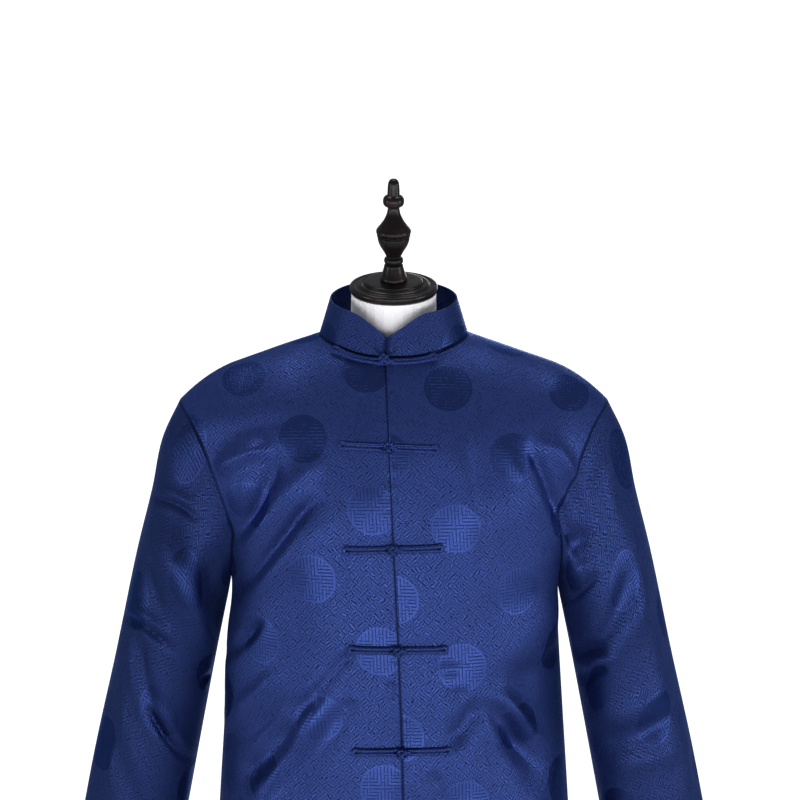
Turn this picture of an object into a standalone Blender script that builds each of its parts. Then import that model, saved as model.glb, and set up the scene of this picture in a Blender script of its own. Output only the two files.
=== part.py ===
"""A burial robe cut as a jacket, in blue satin, on a limbless dress form with a turned neck cap.

Metres, +Z up. The front faces -Y and the origin is under the middle of the base.
Left and right are the wearer's, so the left front and the left sleeve lie at +X.
"""

import math

import bmesh
import bpy
import numpy as np

# Cloth
WALL = 0.0016
SEAM = 0.0003
HEM_Z = 0.715
UNDERARM_Z = 1.200
BUST_Z = 1.250
SQUARENESS = 2.5
SHOULDER_TIP_X = 0.2295

# Shoulder line, as a ridge over the form
RIDGE_TOP_Z = 1.4971
RIDGE_SLOPE = 0.36
RIDGE_ROUND = 0.030
RIDGE_DROP = 5.5
RIDGE_DROP_FROM = 0.170

# Neckline and stand collar
NECKLINE_HALF_WIDTH = 0.0795
NECKLINE_FRONT_TURN = 0.53
NECKLINE_BACK_TURN = 0.37
COLLAR_TOP_HALF_WIDTH = 0.0675
COLLAR_TOP_HALF_DEPTH = 0.060
COLLAR_TOP_Y = -0.015
COLLAR_TOP_Z = 1.507
COLLAR_CORNER_REACH = 0.045
COLLAR_CORNER_CUT = 0.52
COLLAR_FRONT_LEAN = math.radians(3.3)
COLLAR_LEAN_SPAN = 0.8

# Mesh counts
NECK_CELLS = 7
BACK_NECK_CELLS = 10
SHOULDER_CELLS = 9
SIDE_CELLS = 14
ARMHOLE_CELLS = 11
SLEEVE_CELLS = 20
COLLAR_CELLS = 3
RELAX_ROUNDS = 60
KNOT_TURNS = (42, 20, 0, -25, -52, -75)
FORM_TURN_CELLS = 9
FORM_LOW_CELLS = 5
FORM_HIGH_CELLS = 9

# The form, its neck and what stands on it
FORM_DROP = 0.0044
FORM_BOTTOM_Z = 0.730
NECK_TILT = math.radians(10.0)
NECK_FOOT = (0.0, -0.009, 1.4615)
NECK_TOP = 0.0523
NECK_RADIUS = 0.0450
NECK_PROFILE = ((-0.030, 0.0520), (0.000, 0.0480), (0.030, 0.0455), (NECK_TOP, NECK_RADIUS))
NECK_TURN_CELLS = 28
REST_GAP = 0.0003

# The jacket's body: height, half width, depth of the front, depth of the back
BODY = (
    (0.715, 0.2050, 0.1340, 0.1260),
    (0.955, 0.1917, 0.1310, 0.1180),
    (1.050, 0.1852, 0.1295, 0.1150),
    (1.150, 0.1788, 0.1280, 0.1140),
    (1.200, 0.1765, 0.1270, 0.1160),
    (1.240, 0.1838, 0.1255, 0.1180),
    (1.300, 0.2085, 0.1230, 0.1220),
    (1.390, 0.2500, 0.1220, 0.1300),
    (1.500, 0.2900, 0.1250, 0.1500),
)
HALF_WIDTH, FRONT, BACK = 1, 2, 3

# The form's torso: height, half width, depth of the front, depth of the back
TORSO = (
    (0.730, 0.1560, 0.0980, 0.0980),
    (0.900, 0.1500, 0.0960, 0.0880),
    (1.050, 0.1420, 0.1020, 0.0820),
    (1.200, 0.1540, 0.1160, 0.1020),
    (1.300, 0.1760, 0.1160, 0.1140),
    (1.390, 0.2000, 0.1160, 0.1220),
    (1.500, 0.2160, 0.1180, 0.1400),
)

# The armhole from the underarm up: height, half width on the front, half width on the back
ARMHOLE = (
    (1.2000, 0.1765, 0.1765),
    (1.2120, 0.1745, 0.1762),
    (1.2250, 0.1733, 0.1768),
    (1.2544, 0.1741, 0.1812),
    (1.2836, 0.1782, 0.1880),
    (1.3135, 0.1870, 0.1960),
    (1.3467, 0.1992, 0.2070),
    (1.3716, 0.2124, 0.2170),
    (1.3943, 0.2295, 0.2295),
)

# The sleeve from armhole to cuff: share of its length, its outer line (x, z), its inner line (x, z),
# half depth, and middle of the depth
SLEEVE = (
    (0.00, 0.2295, 1.3943, 0.1765, 1.2000, 0.066, 0.000),
    (0.08, 0.2478, 1.3560, 0.1790, 1.1850, 0.068, 0.000),
    (0.20, 0.2609, 1.2980, 0.1842, 1.1600, 0.071, -0.001),
    (0.35, 0.2784, 1.2290, 0.1929, 1.1180, 0.071, -0.003),
    (0.55, 0.3025, 1.1180, 0.2081, 1.0400, 0.066, -0.007),
    (0.75, 0.3289, 1.0020, 0.2255, 0.9480, 0.060, -0.014),
    (1.00, 0.3655, 0.8105, 0.2560, 0.7890, 0.052, -0.024),
)
CAP_BLEND = 0.30
SLEEVE_LENGTH = 0.55
SLEEVE_RADIUS = 0.060
SLEEVE_SEAM_SHIFT = 0.0004

# The front edge leans a little across the middle: height, sideways place
OPENING = (
    (0.715, 0.0150),
    (0.955, 0.0105),
    (1.040, 0.0086),
    (1.160, 0.0044),
    (1.260, -0.0004),
    (1.362, -0.0050),
    (1.4535, -0.0090),
)

# Folds die out this far from the side seam
FOLD_FADE_DEPTH = 0.05

# Folds of the body: face (-1 front, 1 back), start (x, z), end (x, z), half width, height
BODY_FOLDS = (
    (-1, -0.128, 1.345, -0.160, 1.255, 0.017, -0.0060),
    (-1, -0.078, 1.318, -0.158, 1.203, 0.016, -0.0045),
    (-1, -0.105, 1.130, -0.172, 1.020, 0.022, -0.0060),
    (-1, -0.060, 1.060, -0.150, 0.900, 0.024, 0.0050),
    (-1, 0.150, 1.360, 0.178, 1.300, 0.015, 0.0050),
    (-1, 0.142, 1.340, 0.172, 1.262, 0.014, -0.0055),
    (-1, 0.092, 1.098, 0.152, 1.035, 0.017, 0.0060),
    (-1, 0.100, 1.070, 0.145, 1.020, 0.015, -0.0050),
    (-1, 0.086, 1.085, 0.060, 1.000, 0.016, -0.0045),
    (-1, 0.050, 0.930, 0.140, 0.790, 0.024, 0.0050),
    (1, -0.150, 1.330, -0.090, 1.180, 0.020, -0.0055),
    (1, 0.145, 1.335, 0.100, 1.200, 0.018, -0.0050),
    (1, -0.130, 1.080, -0.040, 0.900, 0.024, 0.0055),
    (1, 0.120, 1.060, 0.060, 0.860, 0.022, -0.0050),
    (1, 0.010, 1.200, 0.000, 0.960, 0.026, 0.0040),
)

# Folds of a sleeve: side, start (share of length, turn in degrees), end, half width, height.
# The turn is 0 on the outer line, 90 in front, 180 on the inner line and 270 at the back.
SLEEVE_FOLDS = (
    (-1, 0.16, 20.0, 0.30, 120.0, 0.014, -0.0055),
    (-1, 0.34, 60.0, 0.52, 130.0, 0.018, 0.0060),
    (-1, 0.42, 25.0, 0.50, 95.0, 0.013, -0.0060),
    (-1, 0.60, 40.0, 0.74, 140.0, 0.013, -0.0065),
    (-1, 0.30, 240.0, 0.52, 300.0, 0.018, -0.0060),
    (-1, 0.62, 230.0, 0.70, 330.0, 0.015, -0.0060),
    (1, 0.24, 170.0, 0.36, 120.0, 0.015, -0.0050),
    (1, 0.30, 55.0, 0.52, 150.0, 0.015, -0.0060),
    (1, 0.60, 130.0, 0.68, 70.0, 0.014, -0.0060),
    (1, 0.66, 20.0, 0.76, 75.0, 0.014, -0.0055),
    (1, 0.28, 310.0, 0.50, 250.0, 0.018, -0.0060),
    (1, 0.60, 320.0, 0.72, 235.0, 0.015, -0.0055),
)

# Frogs below the collar's: height of the middle, fall over 100 mm towards the wearer's left
FROGS = (
    (1.3624, 0.0040),
    (1.2584, -0.0022),
    (1.1512, 0.0006),
    (1.0405, -0.0007),
    (0.9310, 0.0012),
    (0.8215, -0.0008),
)
NECK_FROG_BELOW_SEAM = 0.0052
FROG_LIFT = 0.0006
# An arm from its outer end: distance from the middle, half width, thickness, depth of the groove
ARM = (
    (0.0520, 0.0034, 0.0028, 0.0000),
    (0.0500, 0.0052, 0.0038, 0.0006),
    (0.0430, 0.0044, 0.0036, 0.0009),
    (0.0250, 0.0043, 0.0036, 0.0009),
    (0.0068, 0.0041, 0.0036, 0.0009),
)
KNOT_RADIUS = 0.0057
KNOT_HEIGHT = 0.0063

# Turned pieces: height above the cap's top, radius
CAP_PROFILE = (
    (-0.0130, 0.0440),
    (-0.0112, 0.0466),
    (-0.0056, 0.0468),
    (-0.0042, 0.0454),
    (-0.0036, 0.0330),
    (-0.0030, 0.0310),
    (-0.0008, 0.0310),
    (0.0000, 0.0298),
)
FINIAL_BELL = (
    (0.0000, 0.0143),
    (0.0038, 0.0141),
    (0.0095, 0.0118),
    (0.0150, 0.0103),
    (0.0174, 0.0100),
)
FINIAL_VASE = ((0.0268, 0.0080), (0.0315, 0.0102), (0.0388, 0.0148), (0.0474, 0.0172))
FINIAL_GROOVE = ((0.0484, 0.0164), (0.0498, 0.0178), (0.0510, 0.0166))
FINIAL_FLARE = (
    (0.0522, 0.0183),
    (0.0566, 0.0181),
    (0.0662, 0.0105),
    (0.0736, 0.0071),
    (0.0795, 0.0061),
)
FINIAL_PEG = ((0.0940, 0.0066), (0.1025, 0.0063), (0.1080, 0.0055), (0.1112, 0.0030))

# The pole with the plate under the form, and the round base with its socket: height, radius
POLE_RADIUS = 0.0140
POLE_PROFILE = ((0.0353, POLE_RADIUS), (0.7237, POLE_RADIUS), (0.7247, 0.0380), (0.7297, 0.0400))
BASE_PROFILE = (
    (0.0000, 0.1880),
    (0.0020, 0.1900),
    (0.0080, 0.1900),
    (0.0120, 0.1840),
    (0.0130, 0.0280),
    (0.0330, 0.0240),
    (0.0350, 0.0220),
)

# Beads of the finial: middle height, half height, greatest radius, radius of the necks
FINIAL_BEAD = (0.0220, 0.0040, 0.0102, 0.0074)
FINIAL_BALL = (0.0872, 0.0064, 0.0114, 0.0062)


def smooth(table, column, at):
    """Reads one column of a table at a key, along a smooth curve through its rows."""
    rows = np.array(table)
    key = rows[:, 0]
    value = rows[:, column]
    slope = np.gradient(value, key)
    at = np.clip(at, key[0], key[-1])
    row = np.clip(np.searchsorted(key, at) - 1, 0, len(key) - 2)
    span = key[row + 1] - key[row]
    t = (at - key[row]) / span
    start = value[row] * (1 + 2 * t) + slope[row] * span * t
    end = value[row + 1] * (3 - 2 * t) - slope[row + 1] * span * (1 - t)
    return start * (1 - t) ** 2 + end * t**2


def ease(t):
    """Turns 0 to 1 into a soft step."""
    t = np.clip(t, 0, 1)
    return t * t * (3 - 2 * t)


def ridge_height(x, drop=0.0):
    """Height of the shoulder line, or of the form's own line below it."""
    reach = np.sqrt(x * x + RIDGE_ROUND**2)
    past = np.maximum(np.abs(x) - RIDGE_DROP_FROM, 0)
    return RIDGE_TOP_Z - drop - RIDGE_SLOPE * reach - RIDGE_DROP * past**2


def fold_height(along, across, rows):
    """Sum of soft ridges and troughs at a place, each with a rounded section and faded ends."""
    total = np.zeros_like(along)
    for a0, c0, a1, c1, half_width, height in rows:
        run = np.array((a1 - a0, c1 - c0))
        length = math.hypot(*run)
        t = ((along - a0) * run[0] + (across - c0) * run[1]) / length**2
        off = ((along - a0) * run[1] - (across - c0) * run[0]) / length
        fade = ease((t + 0.25) / 0.45) * ease((1.25 - t) / 0.45)
        total = total + height * fade * np.exp(-((off / half_width) ** 2))
    return total


def section_point(p, q, face, table, foot_z, drop):
    """A point of a body: p turns from the middle (0) to the side (1 or -1), q rises from the foot (0)
    to the bust (1) and over to the shoulder line (2)."""
    turn = np.sin(math.pi / 2 * p)
    rise = np.sin(math.pi / 2 * np.clip(q - 1, 0, 1))
    x = np.zeros_like(p)
    for _ in range(60):
        z = foot_z + (BUST_Z - foot_z) * np.minimum(q, 1) + (ridge_height(x, drop) - BUST_Z) * rise
        x = 0.5 * x + 0.5 * smooth(table, HALF_WIDTH, z) * turn
    depth = smooth(table, FRONT if face < 0 else BACK, z)
    over = np.cos(math.pi / 2 * np.clip(q - 1, 0, 1))
    y = face * depth * np.sqrt(np.maximum(1 - np.abs(turn) ** SQUARENESS, 0)) * over
    return np.stack([x, y, z], -1)


def place_on_body(x, z):
    """The p and q of a place on the jacket's body."""
    p = np.arcsin(np.clip(x / smooth(BODY, HALF_WIDTH, z), -1, 1)) * 2 / math.pi
    share = np.clip((z - BUST_Z) / (ridge_height(x) - BUST_Z), 0, 1)
    q = np.where(z < BUST_Z, (z - HEM_Z) / (BUST_Z - HEM_Z), 1 + np.arcsin(share) * 2 / math.pi)
    return p, q


def unit(vectors):
    return vectors / np.linalg.norm(vectors, axis=-1, keepdims=True)


def smooth_body(p, q, face):
    """Points and outward normals of the body before its folds."""
    step = 1e-4
    p_back = np.where(p > 0, p - step, p + step)
    q_back = np.where(q > step, q - step, q + step)
    here = section_point(p, q, face, BODY, HEM_Z, 0.0)
    across = (section_point(p_back, q, face, BODY, HEM_Z, 0.0) - here) * np.sign(p_back - p)[..., None]
    up = (section_point(p, q_back, face, BODY, HEM_Z, 0.0) - here) * np.sign(q_back - q)[..., None]
    return here, unit(np.cross(across, up)) * -face


def body_surface(p, q, face):
    """Points and outward normals of the jacket's body, with its folds."""
    here, normal = smooth_body(p, q, face)
    rows = [row[1:] for row in BODY_FOLDS if row[0] == face]
    fade = ease(np.abs(here[..., 1]) / FOLD_FADE_DEPTH)
    lift = fold_height(here[..., 0], here[..., 2], rows) * fade
    return here + normal * lift[..., None], normal


def spread(curve, count):
    """Evenly spaced points along a dense curve of p, q pairs, measured on the body."""
    points = curve[1]
    length = np.concatenate([[0], np.cumsum(np.linalg.norm(np.diff(points, axis=0), axis=1))])
    at = np.linspace(0, length[-1], count + 1)
    return np.stack([np.interp(at, length, curve[0][:, k]) for k in range(2)], -1)


def armhole_line(face, side):
    """The armhole as p, q pairs, from the underarm to the shoulder tip."""
    t = np.linspace(0, 1, 400)
    z = UNDERARM_Z + (ARMHOLE[-1][0] - UNDERARM_Z) * (1 - np.cos(math.pi * t)) / 2
    x = smooth(ARMHOLE, 1 if face < 0 else 2, z)
    p, q = place_on_body(x, z)
    p[0] = 1.0
    q[-1] = 2.0
    points = section_point(p, q, face, BODY, HEM_Z, 0.0)
    line = spread((np.stack([p, q], -1), points), ARMHOLE_CELLS)
    return line * np.array((side, 1))


def neckline(turn, face):
    """The neckline as p, q pairs, where turn runs from -90 to 90 degrees, 0 being the middle."""
    depth = NECKLINE_FRONT_TURN if face < 0 else NECKLINE_BACK_TURN
    x = NECKLINE_HALF_WIDTH * np.sin(turn)
    over = math.pi / 2 - np.arcsin(depth) * np.cos(turn)
    q = 1 + over * 2 / math.pi
    z = BUST_Z + (ridge_height(x) - BUST_Z) * np.sin(over)
    p = np.arcsin(x / smooth(BODY, HALF_WIDTH, z)) * 2 / math.pi
    return np.stack([p, q], -1)


def shoulder_seam(side):
    """The shoulder seam as p, q pairs, from the neck to the tip."""
    x = np.linspace(NECKLINE_HALF_WIDTH, SHOULDER_TIP_X, SHOULDER_CELLS + 1)
    p = np.arcsin(x / smooth(BODY, HALF_WIDTH, ridge_height(x))) * 2 / math.pi
    return np.stack([p * side, np.full_like(p, 2.0)], -1)


def opening_turn():
    """The neckline's turn where the front edge meets it."""
    return math.asin(OPENING[-1][1] / NECKLINE_HALF_WIDTH)


def outer_edge(face, side):
    """Hem to underarm to shoulder tip, as p, q pairs."""
    z = np.linspace(HEM_Z, UNDERARM_Z, SIDE_CELLS + 1)
    q = (z - HEM_Z) / (BUST_Z - HEM_Z)
    seam = np.stack([np.full_like(q, float(side)), q], -1)
    return np.concatenate([seam[:-1], armhole_line(face, side)])


def evened_grid(bottom, top, left, right):
    """A grid of p, q pairs between four edges that share their corners."""
    s = np.linspace(0, 1, len(bottom))[:, None, None]
    t = np.linspace(0, 1, len(left))[None, :, None]
    low_corners = (1 - s) * bottom[0] + s * bottom[-1]
    high_corners = (1 - s) * top[0] + s * top[-1]
    corners = (1 - t) * low_corners + t * high_corners
    grid = (1 - t) * bottom[:, None] + t * top[:, None] + (1 - s) * left[None] + s * right[None] - corners
    for _ in range(RELAX_ROUNDS):
        around = grid[2:, 1:-1] + grid[:-2, 1:-1] + grid[1:-1, 2:] + grid[1:-1, :-2]
        grid[1:-1, 1:-1] = around / 4
    return grid


def front_places(side):
    """The grid of a front panel, from the opening to the side and from the hem up."""
    turns = np.linspace(opening_turn(), side * math.pi / 2, NECK_CELLS + 1)
    top = np.concatenate([neckline(turns, -1)[:-1], shoulder_seam(side)])
    right = outer_edge(-1, side)
    low = np.linspace(HEM_Z, UNDERARM_Z, SIDE_CELLS + 1)
    high = np.linspace(UNDERARM_Z, OPENING[-1][0], ARMHOLE_CELLS + 1)
    z = np.concatenate([low[:-1], high])
    p, q = place_on_body(smooth(OPENING, 1, z), z)
    left = np.stack([p, q], -1)
    left[-1] = top[0]
    bottom = np.stack([np.linspace(left[0, 0], right[0, 0], len(top)), np.zeros(len(top))], -1)
    return evened_grid(bottom, top, left, right)


def back_places():
    """The grid of the back panel, from the wearer's right to the left and from the hem up."""
    turns = np.linspace(-math.pi / 2, math.pi / 2, BACK_NECK_CELLS + 1)
    neck = neckline(turns, 1)
    top = np.concatenate([shoulder_seam(-1)[::-1][:-1], neck[:-1], shoulder_seam(1)])
    left = outer_edge(1, -1)
    right = outer_edge(1, 1)
    bottom = np.stack([np.linspace(-1, 1, len(top)), np.zeros(len(top))], -1)
    return evened_grid(bottom, top, left, right)


def seam_shift(edge, inside, normals):
    """How far an edge moves into its panel to leave half a seam's gap."""
    inward = np.cross(normals, np.gradient(edge, axis=0))
    sign = np.sign((inward * (inside - edge)).sum(-1, keepdims=True))
    return unit(inward) * sign * SEAM / 2


def opened(points, normals):
    """A panel's points with half a seam's gap at each of its four edges."""
    moved = points.copy()
    moved[0] += seam_shift(points[0], points[1], normals[0])
    moved[-1] += seam_shift(points[-1], points[-2], normals[-1])
    moved[:, 0] += seam_shift(points[:, 0], points[:, 1], normals[:, 0])
    moved[:, -1] += seam_shift(points[:, -1], points[:, -2], normals[:, -1])
    return moved


def material(name, colour, roughness, metallic=0.0):
    made = bpy.data.materials.new(name)
    made.use_nodes = True
    shader = made.node_tree.nodes["Principled BSDF"]
    shader.inputs["Base Color"].default_value = (*colour, 1.0)
    shader.inputs["Roughness"].default_value = roughness
    shader.inputs["Metallic"].default_value = metallic
    return made


def add_object(name, points, faces, finish, sharp=40.0):
    """A closed mesh object with its faces turned outwards and smooth shading."""
    mesh = bpy.data.meshes.new(name)
    mesh.from_pydata([tuple(point) for point in points], [], faces)
    shape = bmesh.new()
    shape.from_mesh(mesh)
    bmesh.ops.recalc_face_normals(shape, faces=shape.faces)
    shape.to_mesh(mesh)
    shape.free()
    mesh.shade_smooth()
    mesh.set_sharp_from_angle(angle=math.radians(sharp))
    mesh.materials.append(finish)
    made = bpy.data.objects.new(name, mesh)
    bpy.context.collection.objects.link(made)
    return made


def grid_faces(rows, columns, first, around=False):
    """Triangles of a grid of points, with every diagonal alike. A tube's rows close on themselves."""
    faces = []
    for i in range(rows if around else rows - 1):
        for j in range(columns - 1):
            a = first + i * columns + j
            b = first + (i + 1) % rows * columns + j
            faces.append((a, b, b + 1))
            faces.append((a, b + 1, a + 1))
    return faces


def add_wall(name, outer, inner, finish, around=False):
    """A wall of cloth between two grids of points, closed along its edges."""
    rows, columns = outer.shape[:2]
    back = rows * columns
    faces = grid_faces(rows, columns, 0, around)
    faces += [face[::-1] for face in grid_faces(rows, columns, back, around)]
    rim = []
    for i in range(rows if around else rows - 1):
        after = (i + 1) % rows * columns
        rim.append((i * columns, after))
        rim.append((i * columns + columns - 1, after + columns - 1))
    if not around:
        for j in range(columns - 1):
            rim.append((j, j + 1))
            rim.append(((rows - 1) * columns + j, (rows - 1) * columns + j + 1))
    for a, b in rim:
        faces.append((a, b, back + b))
        faces.append((a, back + b, back + a))
    points = np.concatenate([outer.reshape(-1, 3), inner.reshape(-1, 3)])
    return add_object(name, points, faces, finish)


def add_panel(name, places, face, finish):
    """A front or back panel as a wall of cloth."""
    points, normals = body_surface(places[..., 0], places[..., 1], face)
    outer = opened(points, normals)
    return add_wall(name, outer, outer - normals * WALL, finish)


def grid_normals(points, around=False):
    """Normals of a grid of points, from its own slopes."""
    if around:
        along_i = np.roll(points, -1, axis=0) - np.roll(points, 1, axis=0)
    else:
        along_i = np.gradient(points, axis=0)
    along_j = np.gradient(points, axis=1)
    return unit(np.cross(along_i, along_j))


def armhole_ring(side):
    """The armhole from the shoulder tip by the front to the underarm and back up, with the body's
    normals there and the directions that lead across the seam into the sleeve."""
    front = armhole_line(-1, side)[::-1]
    back = armhole_line(1, side)
    front_points, front_normals = body_surface(front[:, 0], front[:, 1], -1)
    back_points, back_normals = body_surface(back[:, 0], back[:, 1], 1)
    points = np.concatenate([front_points, back_points[1:-1]])
    normals = np.concatenate([front_normals, back_normals[1:-1]])
    around = np.roll(points, -1, axis=0) - np.roll(points, 1, axis=0)
    across = unit(np.cross(normals, around)) * side
    return points, normals, across


def sleeve_points(side, shares, ring):
    """The sleeve's outer surface: rings that start on the armhole and turn into slanted ellipses."""
    count = len(ring)
    turn = np.arange(count) * 2 * math.pi / count
    value = [smooth(SLEEVE, column, shares) for column in range(1, 7)]
    middle = np.stack([(value[0] + value[2]) / 2 * side, (value[1] + value[3]) / 2], -1)
    reach = np.stack([(value[0] - value[2]) / 2 * side, (value[1] - value[3]) / 2], -1)
    square = np.stack([reach[0][1], -reach[0][0]]) / np.linalg.norm(reach[0])
    from_middle = ring[:, (0, 2)] - middle[0]
    ring_share = from_middle @ reach[0] / (reach[0] @ reach[0])
    ring_off = from_middle @ square
    blend = ease(shares / CAP_BLEND)[None, :, None]
    flat = middle[None] + reach[None] * (
        (1 - blend) * ring_share[:, None, None] + blend * np.cos(turn)[:, None, None]
    )
    flat = flat + square * (1 - blend) * ring_off[:, None, None]
    round_y = value[5][None] - value[4][None] * np.sin(turn)[:, None]
    y = (1 - blend[..., 0]) * ring[:, 1][:, None] + blend[..., 0] * round_y
    return np.stack([flat[..., 0], y, flat[..., 1]], -1)


def sleeve_folds(side, shares, count):
    """Height of the sleeve's folds over the grid of its rings."""
    turn = np.degrees(np.arange(count) * 2 * math.pi / count)
    total = np.zeros((count, len(shares)))
    for row in SLEEVE_FOLDS:
        if row[0] != side:
            continue
        middle = (row[2] + row[4]) / 2
        away = (turn - middle + 180) % 360 - 180
        across = np.radians(away)[:, None] * SLEEVE_RADIUS * np.ones_like(shares)[None]
        along = shares[None] * SLEEVE_LENGTH * np.ones_like(turn)[:, None]
        half = math.radians(row[4] - row[2]) / 2 * SLEEVE_RADIUS
        fold = (row[1] * SLEEVE_LENGTH, -half, row[3] * SLEEVE_LENGTH, half, row[5], row[6])
        total += fold_height(along, across, [fold])
    return total * ease(shares / 0.10)[None]


def add_sleeve(name, side, finish):
    """A set-in sleeve, open at the armhole and the cuff."""
    shares = np.linspace(0, 1, SLEEVE_CELLS + 1) ** 1.1
    ring, ring_normals, across = armhole_ring(side)
    points = sleeve_points(side, shares, ring)
    normals = grid_normals(points, around=True) * side
    points = points + normals * sleeve_folds(side, shares, len(ring))[..., None]
    toward = np.maximum((normals[:, 0] * across).sum(-1, keepdims=True), 0)
    edge_normals = unit(normals[:, 0] - toward * across)
    inner = points - normals * WALL
    inner[:, 0] = points[:, 0] - edge_normals * WALL
    points[:, 0] += across * SLEEVE_SEAM_SHIFT
    inner[:, 0] += across * SLEEVE_SEAM_SHIFT
    return add_wall(name, points, inner, finish, around=True)


def neckline_ring():
    """The neckline from the left front edge round the back to the right one, with its turns."""
    edge = opening_turn()
    left = np.linspace(edge, math.pi / 2, NECK_CELLS + 1)
    back = np.linspace(math.pi / 2, -math.pi / 2, BACK_NECK_CELLS + 1)
    right = np.linspace(-math.pi / 2, edge, NECK_CELLS + 1)
    back = back[1:]
    right = right[1:]
    places = [(left, -1, left), (back, 1, math.pi - back), (right, -1, 2 * math.pi + right)]
    points = []
    turns = []
    for turn, face, around in places:
        line = neckline(turn, face)
        points.append(body_surface(line[:, 0], line[:, 1], face)[0])
        turns.append(around)
    return np.concatenate(points), np.concatenate(turns)


def add_collar(finish):
    """A stand collar whose front corners are rounded off."""
    foot, turns = neckline_ring()
    near_front = np.minimum(turns - turns[0], turns[-1] - turns)
    lean = COLLAR_FRONT_LEAN * ease(1 - near_front / COLLAR_LEAN_SPAN)
    gap = np.zeros_like(turns)
    gap[0] = SEAM / NECKLINE_HALF_WIDTH
    gap[-1] = -gap[0]
    top_turn = turns + lean + gap * 1.6
    tilt = math.tan(NECK_TILT)
    offset_y = -COLLAR_TOP_HALF_DEPTH * np.cos(top_turn)
    top_x = COLLAR_TOP_HALF_WIDTH * np.sin(top_turn)
    top = np.stack([top_x, COLLAR_TOP_Y + offset_y, COLLAR_TOP_Z + offset_y * tilt], -1)
    foot = foot + np.stack([gap * NECKLINE_HALF_WIDTH, gap * 0, gap * 0 + SEAM * 1.2], -1)
    reach = near_front * COLLAR_TOP_HALF_WIDTH / COLLAR_CORNER_REACH
    height = 1 - COLLAR_CORNER_CUT * np.maximum(1 - reach, 0) ** 1.6
    rise = np.linspace(0, 1, COLLAR_CELLS + 1)
    share = height[:, None, None] * rise[None, :, None]
    outer = foot[:, None] * (1 - share) + top[:, None] * share
    normals = grid_normals(outer)
    normals *= np.sign((normals * (outer - np.array(NECK_FOOT))).sum(-1, keepdims=True))
    inner = outer - normals * WALL
    inner[:, 0, 2] = outer[:, 0, 2]
    return add_wall("collar", outer, inner, finish)


def frog_line(height, fall):
    """Where a frog's middle line crosses the panels: a function of the distance from the opening."""

    def at(distance):
        x = smooth(OPENING, 1, height) + distance
        return x, height - fall * distance / 0.1

    return at


def neck_frog_line():
    """The top frog follows the collar seam, a little below it."""

    def at(distance):
        turn = math.asin((OPENING[-1][1] + distance) / NECKLINE_HALF_WIDTH)
        turns = np.array((turn - 0.01, turn, turn + 0.01))
        line = neckline(turns, -1)
        points, normals = smooth_body(line[:, 0], line[:, 1], -1)
        down = unit(np.cross(normals[1], points[2] - points[0]))
        down = down * -np.sign(down[2])
        place = points[1] + down * NECK_FROG_BELOW_SEAM
        return place[0], place[2]

    return at


def frog_frame(line, distance):
    """A point on the panel under a frog, the panel's normal and the direction across the frog."""
    x, z = line(distance)
    x_next, z_next = line(distance + 0.001)
    p, q = place_on_body(np.array((x, x_next)), np.array((z, z_next)))
    points, normals = body_surface(p, q, -1)
    along = unit(points[1] - points[0])
    return points[0], normals[0], np.cross(normals[0], along)


def add_frog_piece(name, line, stations, finish):
    """A run of oval sections along a frog: distance, half width, low, high, depth of the groove."""
    turns = np.radians(np.arange(-90, 270, 45))
    rings = []
    for distance, half_width, low, high, groove in stations:
        point, normal, across = frog_frame(line, distance)
        side = np.sign(np.cos(turns)) * np.abs(np.cos(turns)) ** 0.7 * half_width
        lift = (low + high) / 2 + np.sin(turns) * (high - low) / 2
        lift[4] -= groove
        rings.append(point + across * side[:, None] + normal * lift[:, None])
    count = len(turns)
    grid = np.stack(rings, 1)
    faces = grid_faces(count, len(rings), 0, around=True)
    faces.append(tuple(i * len(rings) for i in range(count)))
    faces.append(tuple(i * len(rings) + len(rings) - 1 for i in range(count)))
    points = grid.reshape(-1, 3)
    return add_object(name, points, faces, finish, sharp=60.0)


def add_frog(number, line, finish):
    """A frog: an arm with the knot on the left front, and the loop's arm on the right front."""
    arm = [(d, w, FROG_LIFT, FROG_LIFT + t, g) for d, w, t, g in ARM]
    knot = []
    for degrees in KNOT_TURNS:
        radius = KNOT_RADIUS * math.cos(math.radians(degrees))
        distance = KNOT_RADIUS * math.sin(math.radians(degrees))
        knot.append((distance, radius, KNOT_HEIGHT - radius, KNOT_HEIGHT + radius, 0.0))
    loop = [(-d, w, low, high, g) for d, w, low, high, g in arm]
    add_frog_piece(f"frog_{number}_knot", line, arm + knot, finish)
    add_frog_piece(f"frog_{number}_loop", line, loop, finish)


def turned(name, profile, cells, finish, sharp=40.0):
    """A solid turned about its own Z axis from pairs of height and radius, closed at both ends."""
    points = []
    for height, radius in profile:
        for k in range(cells):
            turn = 2 * math.pi * k / cells
            points.append((radius * math.cos(turn), radius * math.sin(turn), height))
    faces = []
    for i in range(len(profile) - 1):
        for k in range(cells):
            a = i * cells + k
            b = i * cells + (k + 1) % cells
            faces.append((a, b, b + cells, a + cells))
    faces.append(tuple(range(cells)))
    faces.append(tuple(range(len(points) - cells, len(points))))
    return add_object(name, points, faces, finish, sharp)


def bead(middle, half_height, radius, neck, count=5):
    """A rounded bead of a turned profile, between two necks."""
    rows = []
    for k in range(count):
        turn = math.pi * (k + 0.5) / count - math.pi / 2
        rows.append((middle + half_height * math.sin(turn), neck + (radius - neck) * math.cos(turn)))
    return rows


def stand_on_neck(piece, lift):
    """Leans a turned piece with the neck, its foot at a distance along the neck's axis."""
    axis = np.array((0.0, -math.sin(NECK_TILT), math.cos(NECK_TILT)))
    piece.location = tuple(np.array(NECK_FOOT) + axis * lift)
    piece.rotation_euler = (NECK_TILT, 0.0, 0.0)


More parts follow.
